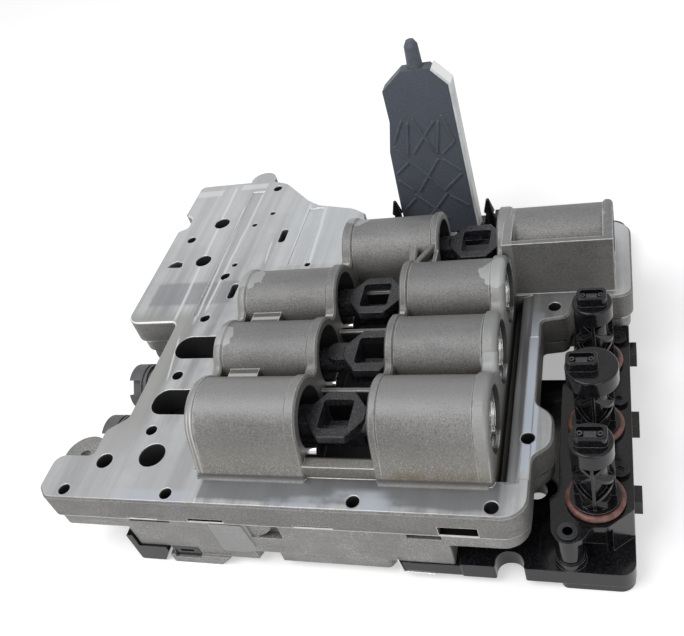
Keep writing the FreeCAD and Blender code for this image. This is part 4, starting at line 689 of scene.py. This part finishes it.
# Darkest and lightest tone, roughness, size and depth of the grain in millimetres, specular level,
# how strongly the worn edges are lightened as a painted highlight and their tone there, and how strong the
# painted glints are
PLASTICS = {
    "head_plastic": dict(
        dark=(0.085, 0.086, 0.09), light=(0.13, 0.131, 0.137), roughness=0.5, grain_size=0.9, depth=0.08,
        gloss=0.4, wear_highlight_amount=0.6, wear_highlight_tone=(0.40, 0.40, 0.41), glint_specks=0.0),
    "carrier_plastic": dict(
        dark=(0.006, 0.006, 0.008), light=(0.022, 0.022, 0.026), roughness=0.3, grain_size=0.7, depth=0.4,
        gloss=0.45, wear_highlight_amount=0.5, wear_highlight_tone=(0.17, 0.17, 0.18), glint_specks=0.22),
    "module_plastic": dict(
        dark=(0.004, 0.004, 0.005), light=(0.010, 0.010, 0.012), roughness=0.12, grain_size=1.2, depth=0.03,
        gloss=0.3, wear_highlight_amount=0.8, wear_highlight_tone=(0.20, 0.20, 0.21), glint_specks=0.04),
    "tower_plastic": dict(
        dark=(0.074, 0.083, 0.103), light=(0.108, 0.120, 0.148), roughness=0.55, grain_size=1.0, depth=0.05,
        gloss=0.3, wear_highlight_amount=0.6, wear_highlight_tone=(0.30, 0.31, 0.34), glint_specks=0.06),
}
GLINT_SPECK_TONE = (0.45, 0.45, 0.46)
RUBBERS = {
    "black_seal": dict(dark=(0.01, 0.01, 0.01), light=(0.02, 0.02, 0.02)),
    "brown_seal": dict(dark=(0.085, 0.036, 0.028), light=(0.19, 0.085, 0.066)),
}
SIDE_PLATE_DARK, SIDE_PLATE_LIGHT = (0.62, 0.63, 0.64), (0.76, 0.77, 0.78)
SIDE_PLATE_DIRT, SIDE_PLATE_TOP_LIGHT = (0.22, 0.22, 0.23), (0.98, 0.98, 0.98)


def steel(name, dark, light, roughness, grain_size=0.5, along=(1.0, 1.0, 1.0), top_dark=0.0):
    """Plain metal with fine marks and slight spots, worn edges lightened as a painted highlight and painted
    shade in its corners; top_dark is how much its upward faces are darkened.
    """
    material, g, shader = surface(name)
    place = g.place()
    marks = g.noise(grain_size, g.stretched(place, along), detail=3)
    spots = g.noise(7, place, detail=3)
    colour = g.mix(g.between(marks, 0.3, 0.7), dark, light)
    colour = g.tint(colour, g.between(spots, 0.55, 0.75), 0.3, tuple(v * 0.6 for v in dark))
    # Edge wear, lightened further as a painted highlight.
    colour = g.tint(colour, g.edge_wear_highlight(0.4), 0.35, tuple(min(0.9, v * 1.5) for v in light))
    # Painted shade in the corners, in an oil-brown tone.
    colour = g.tint(colour, g.between(g.crevice(4), 0.4, 1.0), 0.5, OIL_BROWN_SHADE)
    if top_dark:
        # Upward faces darkened.
        colour = g.tint(colour, g.between(g.facing()[2], 0.5, 0.9), top_dark, UPWARD_DARK_TONE)
    g.link(colour, shader.inputs["Base Color"])
    shader.inputs["Metallic"].default_value = 1.0
    g.link(g.blend(marks, roughness * 0.8, roughness * 1.25), shader.inputs["Roughness"])
    g.link(g.bump(marks, 0.2, 0.05, g.round_edges(0.4)), shader.inputs["Normal"])
    return material


def side_plate():
    """The pale plate on the tower's side, brightest where it faces up, as painted light."""
    material, g, shader = surface("side_plate")
    place = g.place()
    marks = g.noise(2.0, g.stretched(place, (1.0, 1.0, 0.1)), detail=3)
    colour = g.mix(g.between(marks, 0.3, 0.7), SIDE_PLATE_DARK, SIDE_PLATE_LIGHT)
    dirt = g.between(g.noise(9, place, detail=3), 0.5, 0.72)
    colour = g.tint(colour, dirt, 0.25, SIDE_PLATE_DIRT)
    # Painted light: faces that look up are turned almost white.
    colour = g.mix(g.between(g.facing()[2], 0.2, 0.5), colour, SIDE_PLATE_TOP_LIGHT)
    g.link(colour, shader.inputs["Base Color"])
    shader.inputs["Roughness"].default_value = 0.5
    g.link(g.bump(marks, 0.2, 0.05, g.round_edges(0.5)), shader.inputs["Normal"])
    return material


def moulded(name, dark, light, roughness, grain_size, depth, gloss, wear_highlight_amount, wear_highlight_tone, glint_specks):
    """Moulded plastic with a grain, faint smears, worn rounded edges lightened as a painted highlight, and
    a few painted glints.
    """
    material, g, shader = surface(name)
    place = g.place()
    grain = g.noise(grain_size, place, detail=3, rough=0.6)
    smears = g.noise(12, place, detail=3, warp=0.6)
    colour = g.mix(g.between(grain, 0.35, 0.75), dark, light)
    # Edge wear, lightened further as a painted highlight.
    wear_highlight = g.times(g.edge_wear_highlight(0.45), g.between(g.noise(7, place, detail=2), 0.2, 0.65))
    colour = g.tint(colour, wear_highlight, wear_highlight_amount, wear_highlight_tone)
    # Painted glints: scattered bright specks.
    if glint_specks:
        colour = g.tint(colour, sparkles(g, place, 1.0), glint_specks, GLINT_SPECK_TONE)
    g.link(colour, shader.inputs["Base Color"])
    shader.inputs["Specular IOR Level"].default_value = gloss
    smeared = g.blend(g.between(smears, 0.35, 0.7), roughness * 0.75, roughness * 1.4)
    g.link(smeared, shader.inputs["Roughness"])
    g.link(g.bump(grain, 0.5, depth, g.round_edges(0.5)), shader.inputs["Normal"])
    return material


def rubber(name, dark, light):
    """Matt rubber with a faint bloom and painted shade in its corners."""
    material, g, shader = surface(name)
    bloom = g.noise(3, detail=3)
    colour = g.mix(g.between(bloom, 0.3, 0.75), dark, light)
    # Painted shade in the corners.
    colour = g.tint(colour, g.between(g.crevice(3), 0.3, 0.9), 0.6, tuple(v * 0.4 for v in dark))
    g.link(colour, shader.inputs["Base Color"])
    shader.inputs["Specular IOR Level"].default_value = 0.4
    g.link(g.blend(bloom, 0.3, 0.5), shader.inputs["Roughness"])
    g.link(g.bump(g.noise(0.6), 0.2, 0.05), shader.inputs["Normal"])
    return material


# Nodes that look different from the rest of their slot
OWN_LOOKS = {
    "upper_housing": "upper_casting",
    "tower_plate": "side_plate",
    "retaining_rings": "bright_rings",
    "module_bushing": "dark_bushing",
    "module_screws": "dark_screws",
}


def make_looks():
    """Every material, by its slot in the record or by its own name."""
    looks = {
        "cast_aluminium": lower_casting(),
        "upper_casting": upper_casting(),
        "side_plate": side_plate(),
    }
    for kind, table in ((steel, STEELS), (moulded, PLASTICS), (rubber, RUBBERS)):
        for name, values in table.items():
            looks[name] = kind(name, **values)
    return looks


def dress(looks):
    """Every node gets the material of its slot in the record, or one of its own."""
    slots = {part["node"]: part["material_slot"] for part in frame["record"]["subparts"]}
    for name, obj in NODES.items():
        obj.data.materials.clear()
        obj.data.materials.append(looks[OWN_LOOKS.get(name, slots[name])])


# The scene's own pieces: outline in x and z, span along y and bevel, in design millimetres

TONGUE_CLIP = [(51.3, -39.6), (52.0, -39.6), (52.9, -49.4), (53.6, -50.0), (68.7, -50.3), (68.7, -51.0),
               (53.2, -50.8), (52.2, -49.8)]
CLIP_SPAN, CLIP_BEVEL = (-124.9, -123.3), 0.12
SPIKE_FOOT = [(70.5, -27.0), (70.5, -19.5), (72.0, -17.0), (74.0, -17.0), (75.5, -10.5), (80.5, -10.5),
              (82.0, -13.5), (84.5, -13.5), (84.5, -27.0)]
FOOT_SPAN, FOOT_BEVEL = (104.6, 107.4), 0.4


def profile_piece(name, outline, y_span, bevel, look):
    """An outline in x and z drawn out along y, with bevelled edges; it rides on the housing."""
    form = bmesh.new()
    front = form.faces.new([form.verts.new(D(x, y_span[0], z)) for x, z in outline])
    drawn = bmesh.ops.extrude_face_region(form, geom=[front])
    moved = [part for part in drawn["geom"] if isinstance(part, bmesh.types.BMVert)]
    bmesh.ops.translate(form, verts=moved, vec=(0.0, (y_span[1] - y_span[0]) * MM, 0.0))
    bmesh.ops.recalc_face_normals(form, faces=form.faces)
    bmesh.ops.bevel(form, geom=form.edges[:], offset=bevel * MM, segments=2, profile=0.5, affect="EDGES")
    mesh = bpy.data.meshes.new(name)
    form.to_mesh(mesh)
    form.free()
    mesh.materials.append(look)
    piece = bpy.data.objects.new(name, mesh)
    bpy.context.scene.collection.objects.link(piece)
    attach(piece, "housing")


def add_trim(looks):
    """The bright spring clip on the module's tongue and the foot of the rear right spike."""
    bright, black = looks["turned_steel"], looks["module_plastic"]
    profile_piece("tongue_clip", TONGUE_CLIP, CLIP_SPAN, CLIP_BEVEL, bright)
    profile_piece("spike_foot", SPIKE_FOOT, FOOT_SPAN, FOOT_BEVEL, black)


make_camera()
make_world()
make_floor()
for lamp_name, lamp_place, lamp_size, lamp_power in LAMPS:
    area_lamp(lamp_name, lamp_place, lamp_size, lamp_power)
LOOKS = make_looks()
dress(LOOKS)
add_trim(LOOKS)
bpy.context.scene.view_settings.view_transform = "Standard"
